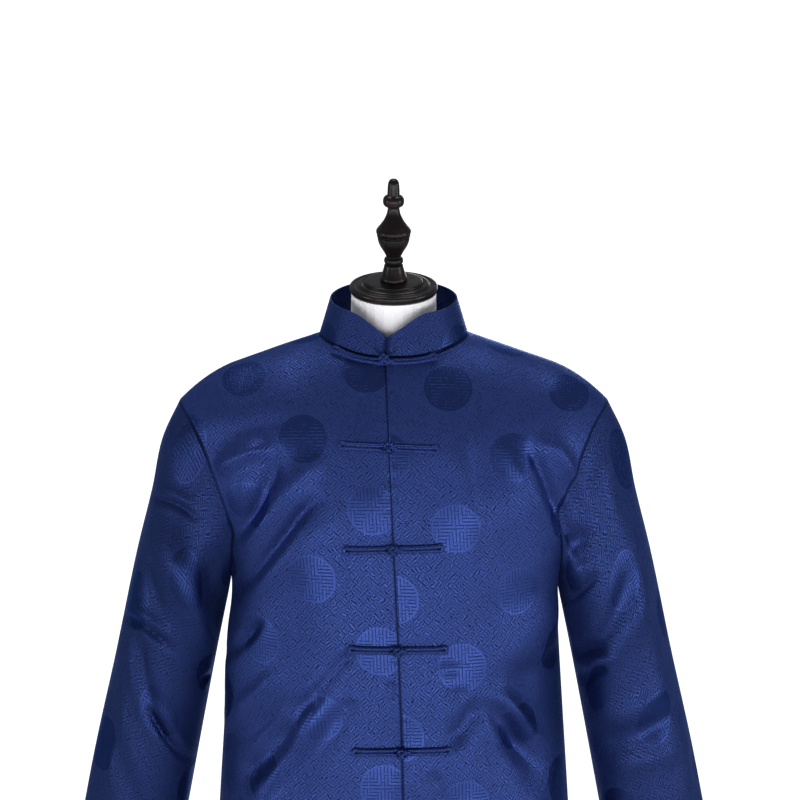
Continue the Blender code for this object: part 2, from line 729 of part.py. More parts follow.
def add_form(finish):
    """The torso, a smooth closed body inside the jacket, joined to its neck."""
    p = np.linspace(-1, 1, 2 * FORM_TURN_CELLS + 1)
    low = np.linspace(0, 1, FORM_LOW_CELLS + 1)
    high = np.linspace(1, 2, FORM_HIGH_CELLS + 1)
    q = np.concatenate([low, high[1:]])
    grid_p, grid_q = np.meshgrid(p, q, indexing="ij")
    front = section_point(grid_p, grid_q, -1, TORSO, FORM_BOTTOM_Z, FORM_DROP)
    back = section_point(grid_p, grid_q, 1, TORSO, FORM_BOTTOM_Z, FORM_DROP)
    columns = len(q)
    points = [tuple(point) for point in front.reshape(-1, 3)]
    index = np.arange(len(points)).reshape(len(p), columns)
    back_index = index.copy()
    for i in range(1, len(p) - 1):
        for j in range(columns - 1):
            back_index[i, j] = len(points)
            points.append(tuple(back[i, j]))
    faces = []
    for grid in (index, back_index):
        for i in range(len(p) - 1):
            for j in range(columns - 1):
                a, b, c, d = grid[i, j], grid[i + 1, j], grid[i + 1, j + 1], grid[i, j + 1]
                faces.append((int(a), int(b), int(c)))
                faces.append((int(a), int(c), int(d)))
    rim = list(index[:, 0]) + list(back_index[1:-1, 0][::-1])
    faces.append(tuple(int(i) for i in rim))
    torso = add_object("form", points, faces, finish)
    neck = turned("neck_stub", NECK_PROFILE, NECK_TURN_CELLS, finish)
    stand_on_neck(neck, 0.0)
    neck.hide_render = True
    neck.display_type = "WIRE"
    join = torso.modifiers.new("neck", "BOOLEAN")
    join.operation = "UNION"
    join.solver = "EXACT"
    join.object = neck


def finial_profile():
    """The finial from its foot to its tip."""
    rows = list(FINIAL_BELL)
    rows += bead(*FINIAL_BEAD)
    rows += list(FINIAL_VASE) + list(FINIAL_GROOVE) + list(FINIAL_FLARE)
    rows += bead(*FINIAL_BALL)
    rows += list(FINIAL_PEG)
    return rows


for old in list(bpy.data.objects):
    bpy.data.objects.remove(old, do_unlink=True)

satin = material("blue_satin", (0.030, 0.047, 0.190), 0.42)
cord = material("blue_satin_cord", (0.022, 0.035, 0.150), 0.50)
cover = material("form_cover", (0.780, 0.760, 0.745), 0.75)
lacquer = material("black_lacquer", (0.012, 0.009, 0.010), 0.18)
steel = material("black_painted_steel", (0.015, 0.015, 0.016), 0.35)

add_panel("front_left", front_places(1), -1, satin)
add_panel("front_right", front_places(-1), -1, satin)
add_panel("back", back_places(), 1, satin)
add_sleeve("sleeve_left", 1, satin)
add_sleeve("sleeve_right", -1, satin)
add_collar(satin)
add_frog(1, neck_frog_line(), cord)
for frog_number, (frog_height, frog_fall) in enumerate(FROGS, start=2):
    add_frog(frog_number, frog_line(frog_height, frog_fall), cord)

add_form(cover)
cap = turned("neck_cap", CAP_PROFILE, 32, lacquer)
stand_on_neck(cap, NECK_TOP + REST_GAP - CAP_PROFILE[0][0])
finial = turned("finial", finial_profile(), 16, lacquer)
stand_on_neck(finial, NECK_TOP + 2 * REST_GAP - CAP_PROFILE[0][0])
turned("pole", POLE_PROFILE, 20, steel)
turned("base", BASE_PROFILE, 36, steel)
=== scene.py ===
"""A burial robe of blue figured satin, knotted down the front, on a limbless dress form.

Metres, +Z up, the front faces -Y. Left and right are the wearer's.
"""

import math

import bmesh
import bpy
import numpy as np
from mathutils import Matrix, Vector
from mathutils.bvhtree import BVHTree


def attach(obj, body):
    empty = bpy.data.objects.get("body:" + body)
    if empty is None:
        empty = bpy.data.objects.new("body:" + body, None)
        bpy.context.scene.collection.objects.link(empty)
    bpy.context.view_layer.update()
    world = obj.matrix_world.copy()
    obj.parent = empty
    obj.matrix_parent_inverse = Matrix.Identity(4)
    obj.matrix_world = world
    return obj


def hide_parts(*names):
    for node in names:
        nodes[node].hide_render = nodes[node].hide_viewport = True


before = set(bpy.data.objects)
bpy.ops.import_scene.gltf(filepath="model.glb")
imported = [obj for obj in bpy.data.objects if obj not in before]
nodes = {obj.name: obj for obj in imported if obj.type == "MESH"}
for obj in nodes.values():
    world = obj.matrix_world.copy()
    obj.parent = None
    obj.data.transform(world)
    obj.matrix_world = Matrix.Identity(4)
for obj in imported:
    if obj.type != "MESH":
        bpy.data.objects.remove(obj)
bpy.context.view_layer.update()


# Camera: a long lens 3 m away, a little above the shoulders and level with the chest's middle.
# Its frame ends above the hem and the cuffs.
EYE_DISTANCE = 3.0
EYE_RISE = math.radians(11.0)
AIM = Vector((0.0067, 0.0, 1.393))
camera = bpy.data.objects.new("camera", bpy.data.cameras.new("camera"))
bpy.context.collection.objects.link(camera)
toward_eye = Vector((0.0, -math.cos(EYE_RISE), math.sin(EYE_RISE)))
camera.location = AIM + toward_eye * EYE_DISTANCE
camera.rotation_mode = "QUATERNION"
camera.rotation_quaternion = (-toward_eye).to_track_quat("-Z", "Y")
camera.data.sensor_width = 36.0
camera.data.lens = 125.6
bpy.context.scene.camera = camera
bpy.context.scene.view_settings.view_transform = "Standard"


# Studio: a pale round floor, a white surround that only the camera sees, and five soft boxes.
# The low wide box in front is the one that the satin mirrors.
FLOOR_RADIUS = 2.6
FLOOR_LEVEL = -0.0005
SURROUND_RADIUS = 30.0
WHITE = (1.0, 1.0, 1.0, 1.0)
SOFT_BOXES = (
    # name, place, the point it faces, width, height, power
    ("front_box", (0.1, -3.0, 0.75), (0.0, 0.0, 1.1), 6.8, 0.8, 108.0),
    ("right_box", (3.0, -1.0, 1.2), (0.0, 0.0, 1.2), 1.4, 1.3, 34.0),
    ("left_box", (-3.0, -1.0, 1.15), (0.0, 0.0, 1.2), 1.2, 1.2, 22.0),
    ("top_box", (0.0, 0.3, 3.2), (0.0, 0.15, 1.3), 1.6, 0.6, 26.0),
    ("back_box", (0.6, 2.8, 1.6), (0.0, 0.0, 1.1), 1.2, 1.2, 14.0),
)


class Graph:
    """Short calls for making shader nodes in one node tree."""

    def __init__(self, tree):
        self.tree = tree

    def node(self, kind, **settings):
        made = self.tree.nodes.new(kind)
        for key, value in settings.items():
            setattr(made, key, value)
        return made

    def feed(self, socket, value):
        if isinstance(value, bpy.types.NodeSocket):
            self.tree.links.new(value, socket)
        elif value is not None:
            socket.default_value = value

    def math(self, operation, a, b=None):
        made = self.node("ShaderNodeMath", operation=operation)
        self.feed(made.inputs[0], a)
        self.feed(made.inputs[1], b)
        return made.outputs[0]

    def plus(self, a, b):
        return self.math("ADD", a, b)

    def minus(self, a, b):
        return self.math("SUBTRACT", a, b)

    def times(self, a, b):
        return self.math("MULTIPLY", a, b)

    def size(self, value):
        return self.math("ABSOLUTE", value)

    def step(self, value, low, high):
        """Rises softly from 0 at low to 1 at high, which may be the smaller one."""
        made = self.node("ShaderNodeMapRange", interpolation_type="SMOOTHSTEP")
        self.feed(made.inputs["Value"], value)
        self.feed(made.inputs["From Min"], low)
        self.feed(made.inputs["From Max"], high)
        return made.outputs["Result"]

    def mix(self, share, a, b):
        """A number between a and b."""
        made = self.node("ShaderNodeMix")
        self.feed(made.inputs["Factor"], share)
        self.feed(made.inputs["A"], a)
        self.feed(made.inputs["B"], b)
        return made.outputs["Result"]

    def colour(self, share, a, b):
        """A colour between a and b."""
        made = self.node("ShaderNodeMix", data_type="RGBA")
        self.feed(made.inputs["Factor"], share)
        colours = [socket for socket in made.inputs if socket.type == "RGBA"]
        self.feed(colours[0], a)
        self.feed(colours[1], b)
        return [socket for socket in made.outputs if socket.type == "RGBA"][0]

    def split(self, vector):
        made = self.node("ShaderNodeSeparateXYZ")
        self.feed(made.inputs[0], vector)
        return made.outputs[0], made.outputs[1]

    def noise(self, place, scale, detail=None):
        """A noise's value and colour, over a vector."""
        made = self.node("ShaderNodeTexNoise")
        self.feed(made.inputs["Vector"], place)
        self.feed(made.inputs["Scale"], scale)
        self.feed(made.inputs["Detail"], detail)
        return made.outputs[0], made.outputs[1]

    def bump(self, shader, height, distance, strength):
        made = self.node("ShaderNodeBump")
        self.feed(made.inputs["Strength"], strength)
        self.feed(made.inputs["Distance"], distance)
        self.feed(made.inputs["Height"], height)
        self.feed(shader.inputs["Normal"], made.outputs["Normal"])

    def map(self, name):
        return self.node("ShaderNodeUVMap", uv_map=name).outputs["UV"]

    def effect(self, group, vector):
        """The outputs of a shared effect, placed over a map."""
        made = self.node("ShaderNodeGroup", node_tree=group)
        self.feed(made.inputs[0], vector)
        return made.outputs


def new_material(name, even):
    """A material with its shader, on which the even values are set, and its node calls."""
    made = bpy.data.materials.new(name)
    made.use_nodes = True
    shader = made.node_tree.nodes["Principled BSDF"]
    for socket, value in even.items():
        shader.inputs[socket].default_value = value
    return made, shader, Graph(made.node_tree)


bpy.ops.mesh.primitive_circle_add(
    vertices=96, radius=FLOOR_RADIUS, fill_type="NGON", location=(0.0, 0.0, FLOOR_LEVEL)
)
floor = bpy.context.object
floor.name = "floor"
pale = {"Base Color": (0.82, 0.82, 0.83, 1.0), "Roughness": 0.85}
floor.data.materials.append(new_material("pale_floor", pale)[0])
bpy.ops.mesh.primitive_uv_sphere_add(segments=48, ring_count=24, radius=SURROUND_RADIUS)
surround = bpy.context.object
surround.name = "surround"
glow = {"Base Color": WHITE, "Roughness": 0.85, "Emission Color": WHITE, "Emission Strength": 1.0}
surround.data.materials.append(new_material("white_surround", glow)[0])
for ray in ("diffuse", "glossy", "transmission", "shadow"):
    setattr(surround, f"visible_{ray}", False)

world = bpy.data.worlds.new("studio")
world.use_nodes = True
world.node_tree.nodes["Background"].inputs["Color"].default_value = (0.92, 0.95, 1.0, 1.0)
world.node_tree.nodes["Background"].inputs["Strength"].default_value = 0.26
bpy.context.scene.world = world
for name, place, faced, width, height, power in SOFT_BOXES:
    light = bpy.data.lights.new(name, "AREA")
    light.shape = "RECTANGLE"
    light.size = width
    light.size_y = height
    light.energy = power
    box = bpy.data.objects.new(name, light)
    bpy.context.collection.objects.link(box)
    box.location = place
    box.rotation_mode = "QUATERNION"
    box.rotation_quaternion = (Vector(faced) - Vector(place)).to_track_quat("-Z", "Y")


# The satin: a ground of fine key lines that wander and break, with round medallions woven into it
# in half-drop rows. The cloth map is in metres, and the seam map holds the distance to the nearest
# seam and the place along it.
MEDALLION_RADIUS = 0.0262
MEDALLION_CELL = 0.0037
MEDALLION_HEIGHT = 0.00012
RIM_WIDTH = 0.0012
COLUMN_PITCH = 0.0688
ROW_PITCH = 0.150
GROUND_CELL = 0.0045
GROUND_WANDER = 0.0070
GROUND_HEIGHT = 0.00013
WARP_PITCH = 0.0009
WEFT_PITCH = 0.0007
THREAD_HEIGHT = 0.00002
SEAM_ROLL = 0.0013
SEAM_PUCKER = 0.0010
GROUND_DARK = (0.0050, 0.0110, 0.049)
GROUND_LIGHT = (0.0340, 0.0600, 0.228)
MEDALLION_DARK = (0.0088, 0.0180, 0.078)
MEDALLION_LIGHT = (0.0252, 0.0450, 0.172)
CLOUD_COLOUR = (0.0161, 0.0273, 0.1302)
# The seams' dark line is painted shade of their grooves.
SEAM_SHADE_COLOUR = (0.005, 0.009, 0.040, 1.0)
SATIN_GLOSS = {
    "Specular IOR Level": 0.15,
    "Specular Tint": (0.35, 0.50, 1.0, 1.0),
    "Sheen Weight": 0.08,
    "Sheen Roughness": 0.45,
    "Sheen Tint": (0.15, 0.30, 1.0, 1.0),
}


def shared_effect(name, given, *results):
    """An empty node group with a map as its input and some values as its outputs."""
    group = bpy.data.node_groups.new(name, "ShaderNodeTree")
    group.interface.new_socket(given, in_out="INPUT", socket_type="NodeSocketVector")
    for result in results:
        group.interface.new_socket(result, in_out="OUTPUT", socket_type="NodeSocketFloat")
    g = Graph(group)
    return group, g, g.node("NodeGroupInput").outputs[0], g.node("NodeGroupOutput").inputs


def fret(g, x, y, cell, lean, dark_at, light_at, uneven):
    """Key lines through the middle of square cells, each cell turned one of two ways.

    A cell is dark and light at these distances from its middle line, in cells.
    """
    across = g.math("DIVIDE", x, cell)
    up = g.math("DIVIDE", y, cell)
    corner = g.node("ShaderNodeCombineXYZ")
    g.feed(corner.inputs[0], g.math("FLOOR", across))
    g.feed(corner.inputs[1], g.math("FLOOR", up))
    picked = g.node("ShaderNodeTexWhiteNoise", noise_dimensions="2D")
    g.feed(picked.inputs["Vector"], corner.outputs[0])
    turned = g.math("GREATER_THAN", picked.outputs["Value"], lean)
    off = g.mix(turned, g.math("FRACT", across), g.math("FRACT", up))
    line = g.step(g.size(g.minus(off, 0.5)), dark_at, light_at)
    strength = g.split(picked.outputs["Color"])[1]
    return g.mix(g.times(strength, uneven), line, 0.55)


def figured_pattern():
    """From the cloth map to three masks: medallion, light thread lines and fine weave."""
    group, g, cloth, results = shared_effect(
        "figured_pattern", "Cloth", "Medallion", "Lines", "Weave"
    )
    u, v = g.split(cloth)
    across = g.math("DIVIDE", u, COLUMN_PITCH)
    column = g.math("ROUND", across)
    local_u = g.times(g.minus(across, column), COLUMN_PITCH)
    odd = g.size(g.math("MODULO", column, 2.0))
    up = g.minus(g.math("DIVIDE", v, ROW_PITCH), g.times(odd, 0.5))
    local_v = g.times(g.minus(up, g.math("ROUND", up)), ROW_PITCH)
    radius = g.math("SQRT", g.plus(g.times(local_u, local_u), g.times(local_v, local_v)))
    disc = g.step(radius, MEDALLION_RADIUS + 0.0006, MEDALLION_RADIUS - 0.0006)
    upright = g.math("GREATER_THAN", g.size(local_v), g.size(local_u))
    lean = g.mix(upright, 0.30, 0.72)
    bars = fret(g, local_u, local_v, MEDALLION_CELL, lean, 0.42, 0.30, 0.3)
    rim = g.step(g.size(g.minus(radius, MEDALLION_RADIUS - RIM_WIDTH)), RIM_WIDTH, 0.0004)
    inside = g.math("MAXIMUM", bars, rim)
    stray_u, stray_v = g.split(g.noise(cloth, 210.0)[1])
    slant_a = g.plus(g.plus(u, v), g.times(stray_u, GROUND_WANDER))
    slant_b = g.plus(g.minus(u, v), g.times(stray_v, GROUND_WANDER))
    ground = fret(g, slant_a, slant_b, GROUND_CELL, 0.5, 0.14, 0.38, 0.85)
    warp = g.math("SINE", g.times(u, 2 * math.pi / WARP_PITCH))
    weft = g.math("SINE", g.times(v, 2 * math.pi / WEFT_PITCH))
    g.feed(results["Medallion"], disc)
    g.feed(results["Lines"], g.mix(disc, ground, inside))
    g.feed(results["Weave"], g.times(warp, weft))
    return group


def sewn_seam():
    """From the seam map to the cloth beyond the seam's painted shade line and the height beside it.
    """
    group, g, seam, results = shared_effect("sewn_seam", "Seam", "Cloth", "Height")
    away, along = g.split(seam)
    pucker = g.node("ShaderNodeTexNoise", noise_dimensions="1D")
    g.feed(pucker.inputs["W"], along)
    g.feed(pucker.inputs["Scale"], 85.0)
    puckered = g.times(pucker.outputs[0], g.step(away, 0.016, 0.001))
    fall = g.times(g.step(away, 0.0025, 0.0085), 0.4)
    roll = g.minus(g.step(away, 0.0, 0.0030), fall)
    g.feed(results["Cloth"], g.step(away, 0.0005, 0.0020))
    g.feed(results["Height"], g.plus(g.times(roll, SEAM_ROLL), g.times(puckered, SEAM_PUCKER)))
    return group


pattern = figured_pattern()
seam_relief = sewn_seam()


def satin_material(name, shade=1.0, lean=0.0):
    """The lean is how far the satin's floats tip the light they return, up or down the cloth."""
    made, shader, g = new_material(name, SATIN_GLOSS)

    # The shade darkens every colour of this satin: painted shade for pieces the lamps leave darker.
    def dye_with_painted_shade(colour):
        return (*(value * shade for value in colour), 1.0)

    cloth = g.map("cloth")
    figure = g.effect(pattern, cloth)
    seam = g.effect(seam_relief, g.map("seam"))
    medallion, lines = figure["Medallion"], figure["Lines"]
    ground = g.colour(lines, dye_with_painted_shade(GROUND_DARK), dye_with_painted_shade(GROUND_LIGHT))
    disc = g.colour(lines, dye_with_painted_shade(MEDALLION_DARK), dye_with_painted_shade(MEDALLION_LIGHT))
    clouds = g.times(g.noise(cloth, 14.0, 3.0)[0], 0.30)
    worn = g.colour(clouds, g.colour(medallion, ground, disc), dye_with_painted_shade(CLOUD_COLOUR))
    # Beside each seam and at the front opening the colour turns dark: painted shade in the groove.
    g.feed(shader.inputs["Base Color"], g.colour(seam["Cloth"], SEAM_SHADE_COLOUR, worn))
    # Floats return light as a mirror does: dark and light threads of the ground, then the medallion
    floats = g.mix(medallion, g.mix(lines, 0.15, 0.88), g.mix(lines, 0.58, 0.94))
    g.feed(shader.inputs["Metallic"], floats)
    rough = g.mix(medallion, g.mix(lines, 0.62, 0.35), g.mix(lines, 0.46, 0.31))
    g.feed(shader.inputs["Roughness"], rough)
    woven = g.times(lines, g.mix(medallion, GROUND_HEIGHT, MEDALLION_HEIGHT))
    height = g.plus(woven, g.times(figure["Weave"], THREAD_HEIGHT))
    height = g.plus(height, seam["Height"])
    height = g.plus(height, g.times(g.split(cloth)[1], lean))
    g.bump(shader, height, 1.0, 1.0)
    return made


# Front and back panels: cut from the figured satin, joined at the sides, shoulders and neck. On
# them p turns from the middle to the side seam, and q rises from the hem over the bust line (1) to
# the shoulder line (2). The sizes are the pattern of the solid robe.
body_satin = satin_material("blue_figured_satin")
WALL = 0.0016
AIR = 0.0005
SEAM_GAP = -0.0001  # the visible cloth laps, so that no light shows through
HEM_Z = 0.715
UNDERARM_Z = 1.200
BUST_Z = 1.250
SQUARENESS = 2.5
SHOULDER_TIP_X = 0.2295
RIDGE_TOP_Z = 1.4971
RIDGE_SLOPE = 0.36
RIDGE_ROUND = 0.030
RIDGE_DROP = 5.5
RIDGE_DROP_FROM = 0.170
NECKLINE_HALF_WIDTH = 0.0795
NECKLINE_TURN = {-1: 0.53, 1: 0.37}
BODY = (
    (0.715, 0.2050, 0.1340, 0.1260),
    (0.955, 0.1917, 0.1310, 0.1180),
    (1.050, 0.1852, 0.1295, 0.1150),
    (1.150, 0.1788, 0.1280, 0.1140),
    (1.200, 0.1765, 0.1270, 0.1160),
    (1.240, 0.1838, 0.1255, 0.1180),
    (1.300, 0.2085, 0.1230, 0.1220),
    (1.390, 0.2500, 0.1220, 0.1300),
    (1.500, 0.2900, 0.1250, 0.1500),
)
HALF_WIDTH, FRONT, BACK = 1, 2, 3
ARMHOLE = (
    (1.2000, 0.1765, 0.1765),
    (1.2120, 0.1745, 0.1762),
    (1.2250, 0.1733, 0.1768),
    (1.2544, 0.1741, 0.1812),
    (1.2836, 0.1782, 0.1880),
    (1.3135, 0.1870, 0.1960),
    (1.3467, 0.1992, 0.2070),
    (1.3716, 0.2124, 0.2170),
    (1.3943, 0.2295, 0.2295),
)
OPENING = (
    (0.715, 0.0150),
    (0.955, 0.0105),
    (1.040, 0.0086),
    (1.160, 0.0044),
    (1.260, -0.0004),
    (1.362, -0.0050),
    (1.4535, -0.0090),
)
NECK_CELLS = 32
BACK_NECK_CELLS = 48
SHOULDER_CELLS = 40
SIDE_CELLS = 100
ARMHOLE_CELLS = 52
RELAX_ROUNDS = 800
FOLD_REACH = 0.06
FOLD_FREE_DEPTH = 0.05  # folds die out this near to the side seams' plane
BODY_WAVES = 0.0011

# Folds, in millimetres: the start, middle and end of the centre line (x, z), the half width
# and the height
FRONT_FOLDS = (
    (-183.5, 1331.6, -159.4, 1349.4, -133.8, 1359.4, 8.5, 10),
    (-194.3, 1352.4, -158.4, 1375.1, -110.6, 1386.9, 11, -3),
    (-124.4, 1348, -141.7, 1304.3, -170.1, 1255.3, 10, -10.5),
    (-115, 1350.7, -140.7, 1309.7, -165.3, 1267.9, 16, -3),
    (-79.1, 1347.4, -114.8, 1310.6, -163.5, 1245.5, 9.5, 5.5),
    (-82.4, 1309.9, -118.5, 1264.9, -173.3, 1183, 7.4, -10.8),
    (-64.6, 1294.9, -104.7, 1248, -159.8, 1189, 14, 3),
    (-141.9, 1167, -158.9, 1143.5, -175.8, 1117.5, 4.8, -5.2),
    (-182.4, 1041.5, -149.4, 1085.5, -120.5, 1120.3, 9, 5.2),
    (-181, 1019.3, -130.6, 1068.4, -83, 1101.2, 11, -5.8),
    (-150.2, 1035.7, -112.5, 1080.6, -81.2, 1119.5, 8, 4.4),
    (-126.3, 1040.6, -102.3, 1074.8, -78.8, 1109.6, 10.5, -4.2),
    (-112.7, 1058.2, -139, 1025, -170.6, 985.3, 18, -8.5),
    (-78, 1105.8, -61, 1128.6, -44.2, 1145.5, 6, -3),
    (-78.4, 1094.2, -99.9, 1046.1, -143.7, 984.8, 13, 6.2),
    (-51.4, 1088.7, -73.6, 1049.2, -117.7, 990.4, 14, -4.6),
    (-53.6, 1137.6, -48.4, 1142.1, -42.1, 1146.7, 5, -1.8),
    (-2.2, 1116.3, -3.3, 1107.6, -4.3, 1096.8, 5, -2.4),
    (-52.9, 1086.1, -47.7, 1089.5, -41.3, 1095, 5.5, -1.8),
    (-36.3, 1424, -35.2, 1399.9, -32, 1374.3, 8, -2.2),
    (158.8, 1366, 176, 1345.8, 190.7, 1320.4, 8.5, 6.5),
    (145.4, 1355.6, 163.8, 1318.1, 178.2, 1276.8, 6.4, -9),
    (119.9, 1355.3, 151.1, 1299.8, 178.1, 1240.7, 8.3, 3),
    (88.3, 1090.2, 75.8, 1067.4, 61, 1047.7, 11, -7.8),
    (104.2, 1085.5, 129.1, 1052.2, 161.4, 1008.2, 12.8, -11.2),
    (109.8, 1098.8, 134.8, 1065.4, 164.1, 1020.8, 9.5, 10),
    (125.3, 1054.7, 147.3, 1017.9, 156.3, 980.5, 22, -8),
    (175.1, 1262.3, 177.4, 1204.7, 181.3, 1148.9, 26, 7.8),
    (-179.6, 1183.4, -184, 1114.5, -187.9, 1052.4, 25, 8.5),
    (149.6, 1127.5, 158.5, 1091.4, 183.7, 1043.6, 30, -7.5),
    (47.1, 1125.5, 59.7, 1128.2, 72.4, 1125.3, 6.5, -1.8),
    (55.5, 1098, 67.1, 1100.5, 78.8, 1098.4, 6.5, -2),
    (81, 1363, 90, 1321, 99, 1267, 4.5, -2.3),
    (70, 1358, 78, 1315, 88, 1262, 8.3, 2.2),
    (40, 1017, 47, 997, 51, 970, 8.2, -3.7),
    (81, 1028, 89, 995, 92, 950, 14.6, 3),
    (-120, 950, -135, 850, -140, 740, 20, 4.5),
    (-60, 900, -70, 820, -74, 730, 13, -4.2),
    (60, 920, 75, 830, 80, 735, 13.7, -4.7),
    (130, 960, 140, 850, 146, 740, 21, 4.5),
)
BACK_FOLDS = (
    (-150, 1330, -125, 1262, -90, 1180, 20, -5.5),
    (145, 1335, 128, 1270, 100, 1200, 18, -5),
    (-130, 1080, -90, 985, -40, 900, 24, 5.5),
    (120, 1060, 96, 955, 60, 860, 22, -5),
    (10, 1200, 8, 1080, 0, 960, 26, 4),
    (-165, 1300, -148, 1235, -118, 1170, 9, 4.5),
    (168, 1292, 150, 1240, 122, 1185, 8.5, 4),
    (-162, 1168, -140, 1128, -104, 1098, 8, -4.5),
    (165, 1150, 146, 1122, 112, 1106, 7.5, -4),
    (-150, 1040, -120, 1000, -90, 975, 10, -4),
    (150, 1000, 130, 960, 102, 940, 11, 4),
    (-60, 900, -66, 820, -70, 735, 18, -4),
    (70, 900, 78, 820, 84, 735, 19, 4.5),
    (140, 900, 148, 820, 152, 735, 16, -3.5),
)


def smooth(table, column, at):
    """Reads one column of a table at a key, along a smooth curve through its rows."""
    rows = np.array(table)
    key = rows[:, 0]
    value = rows[:, column]
    slope = np.gradient(value, key)
    at = np.clip(at, key[0], key[-1])
    row = np.clip(np.searchsorted(key, at) - 1, 0, len(key) - 2)
    span = key[row + 1] - key[row]
    t = (at - key[row]) / span
    start = value[row] * (1 + 2 * t) + slope[row] * span * t
    end = value[row + 1] * (3 - 2 * t) - slope[row + 1] * span * (1 - t)
    return start * (1 - t) ** 2 + end * t**2


def ease(t):
    t = np.clip(t, 0, 1)
    return t * t * (3 - 2 * t)


def unit(vectors):
    return vectors / np.linalg.norm(vectors, axis=-1, keepdims=True)


def ridge_height(x):
    reach = np.sqrt(x * x + RIDGE_ROUND**2)
    past = np.maximum(np.abs(x) - RIDGE_DROP_FROM, 0)
    return RIDGE_TOP_Z - RIDGE_SLOPE * reach - RIDGE_DROP * past**2


def fold_lift(x, z, rows):
    """Height of folds at places: each is a soft ridge or trough along a curved line."""
    lift = np.zeros_like(x)
    s = np.linspace(-0.2, 1.2, 57)
    for x0, z0, x1, z1, x2, z2, half_width, height in np.array(rows) / 1000:
        bend_x = 2 * x1 - (x0 + x2) / 2
        bend_z = 2 * z1 - (z0 + z2) / 2
        line_x = (1 - s) ** 2 * x0 + 2 * s * (1 - s) * bend_x + s * s * x2
        line_z = (1 - s) ** 2 * z0 + 2 * s * (1 - s) * bend_z + s * s * z2
        near = (x > line_x.min() - FOLD_REACH) & (x < line_x.max() + FOLD_REACH)
        near &= (z > line_z.min() - FOLD_REACH) & (z < line_z.max() + FOLD_REACH)
        if not near.any():
            continue
        squares = (x[near][:, None] - line_x) ** 2 + (z[near][:, None] - line_z) ** 2
        nearest = squares.argmin(-1)
        along = s[nearest]
        fade = ease((along + 0.2) / 0.5) * ease((1.2 - along) / 0.5)
        lift[near] += height * fade * np.exp(-squares.min(-1) / half_width**2)
    return lift


def waves(a, b, seed, size, count=12):
    """Soft uneven swells over a sheet of cloth."""
    rng = np.random.default_rng(seed)
    total = np.zeros_like(a)
    for _ in range(count):
        turn = rng.uniform(0, math.pi)
        wave = 2 * math.pi / rng.uniform(0.045, 0.140)
        phase = rng.uniform(0, 2 * math.pi)
        total += np.sin((a * math.cos(turn) + b * math.sin(turn)) * wave + phase)
    return total * size / math.sqrt(count)


def section_point(p, q, face):
    turn = np.sin(math.pi / 2 * p)
    rise = np.sin(math.pi / 2 * np.clip(q - 1, 0, 1))
    x = np.zeros_like(p)
    for _ in range(60):
        z = HEM_Z + (BUST_Z - HEM_Z) * np.minimum(q, 1) + (ridge_height(x) - BUST_Z) * rise
        x = 0.5 * x + 0.5 * smooth(BODY, HALF_WIDTH, z) * turn
    depth = smooth(BODY, FRONT if face < 0 else BACK, z)
    over = np.cos(math.pi / 2 * np.clip(q - 1, 0, 1))
    y = face * depth * np.sqrt(np.maximum(1 - np.abs(turn) ** SQUARENESS, 0)) * over
    return np.stack([x, y, z], -1)


def place_on_body(x, z):
    p = np.arcsin(np.clip(x / smooth(BODY, HALF_WIDTH, z), -1, 1)) * 2 / math.pi
    share = np.clip((z - BUST_Z) / (ridge_height(x) - BUST_Z), 0, 1)
    q = np.where(z < BUST_Z, (z - HEM_Z) / (BUST_Z - HEM_Z), 1 + np.arcsin(share) * 2 / math.pi)
    return p, q


def smooth_body(p, q, face):
    step = 1e-4
    p_back = np.where(p > 0, p - step, p + step)
    q_back = np.where(q > step, q - step, q + step)
    here = section_point(p, q, face)
    across = (section_point(p_back, q, face) - here) * np.sign(p_back - p)[..., None]
    up = (section_point(p, q_back, face) - here) * np.sign(q_back - q)[..., None]
    return here, unit(np.cross(across, up)) * -face


def body_surface(p, q, face):
    """Points and normals of the robe's body with its folds."""
    here, normal = smooth_body(p, q, face)
    x, z = here[..., 0], here[..., 2]
    fade = ease(np.abs(here[..., 1]) / FOLD_FREE_DEPTH)
    lift = fold_lift(x, z, FRONT_FOLDS if face < 0 else BACK_FOLDS)
    lift += waves(x, z, 11 if face < 0 else 23, BODY_WAVES)
    return here + normal * (lift * fade)[..., None], normal


def run_along(points):
    """How far along a line each of its points lies."""
    return np.concatenate([[0], np.cumsum(np.linalg.norm(np.diff(points, axis=0), axis=1))])


def spread(curve, points, count):
    """Evenly spaced places along a dense curve of p, q pairs, measured on the body."""
    length = run_along(points)
    at = np.linspace(0, length[-1], count + 1)
    return np.stack([np.interp(at, length, curve[:, k]) for k in range(2)], -1)


def armhole_line(face, side, cells):
    t = np.linspace(0, 1, 800)
    z = UNDERARM_Z + (ARMHOLE[-1][0] - UNDERARM_Z) * (1 - np.cos(math.pi * t)) / 2
    p, q = place_on_body(smooth(ARMHOLE, 1 if face < 0 else 2, z), z)
    p[0] = 1.0
    q[-1] = 2.0
    line = spread(np.stack([p, q], -1), section_point(p, q, face), cells)
    return line * np.array((side, 1))


def neckline(turn, face):
    x = NECKLINE_HALF_WIDTH * np.sin(turn)
    over = math.pi / 2 - np.arcsin(NECKLINE_TURN[face]) * np.cos(turn)
    z = BUST_Z + (ridge_height(x) - BUST_Z) * np.sin(over)
    p = np.arcsin(x / smooth(BODY, HALF_WIDTH, z)) * 2 / math.pi
    return np.stack([p, 1 + over * 2 / math.pi], -1)


def shoulder_seam(side, parts):
    x = np.linspace(NECKLINE_HALF_WIDTH, SHOULDER_TIP_X, parts * SHOULDER_CELLS + 1)
    p = np.arcsin(x / smooth(BODY, HALF_WIDTH, ridge_height(x))) * 2 / math.pi
    return np.stack([p * side, np.full_like(p, 2.0)], -1)


def outer_edge(face, side, parts):
    z = np.linspace(HEM_Z, UNDERARM_Z, parts * SIDE_CELLS + 1)
    q = (z - HEM_Z) / (BUST_Z - HEM_Z)
    seam = np.stack([np.full_like(q, float(side)), q], -1)
    return np.concatenate([seam[:-1], armhole_line(face, side, parts * ARMHOLE_CELLS)])


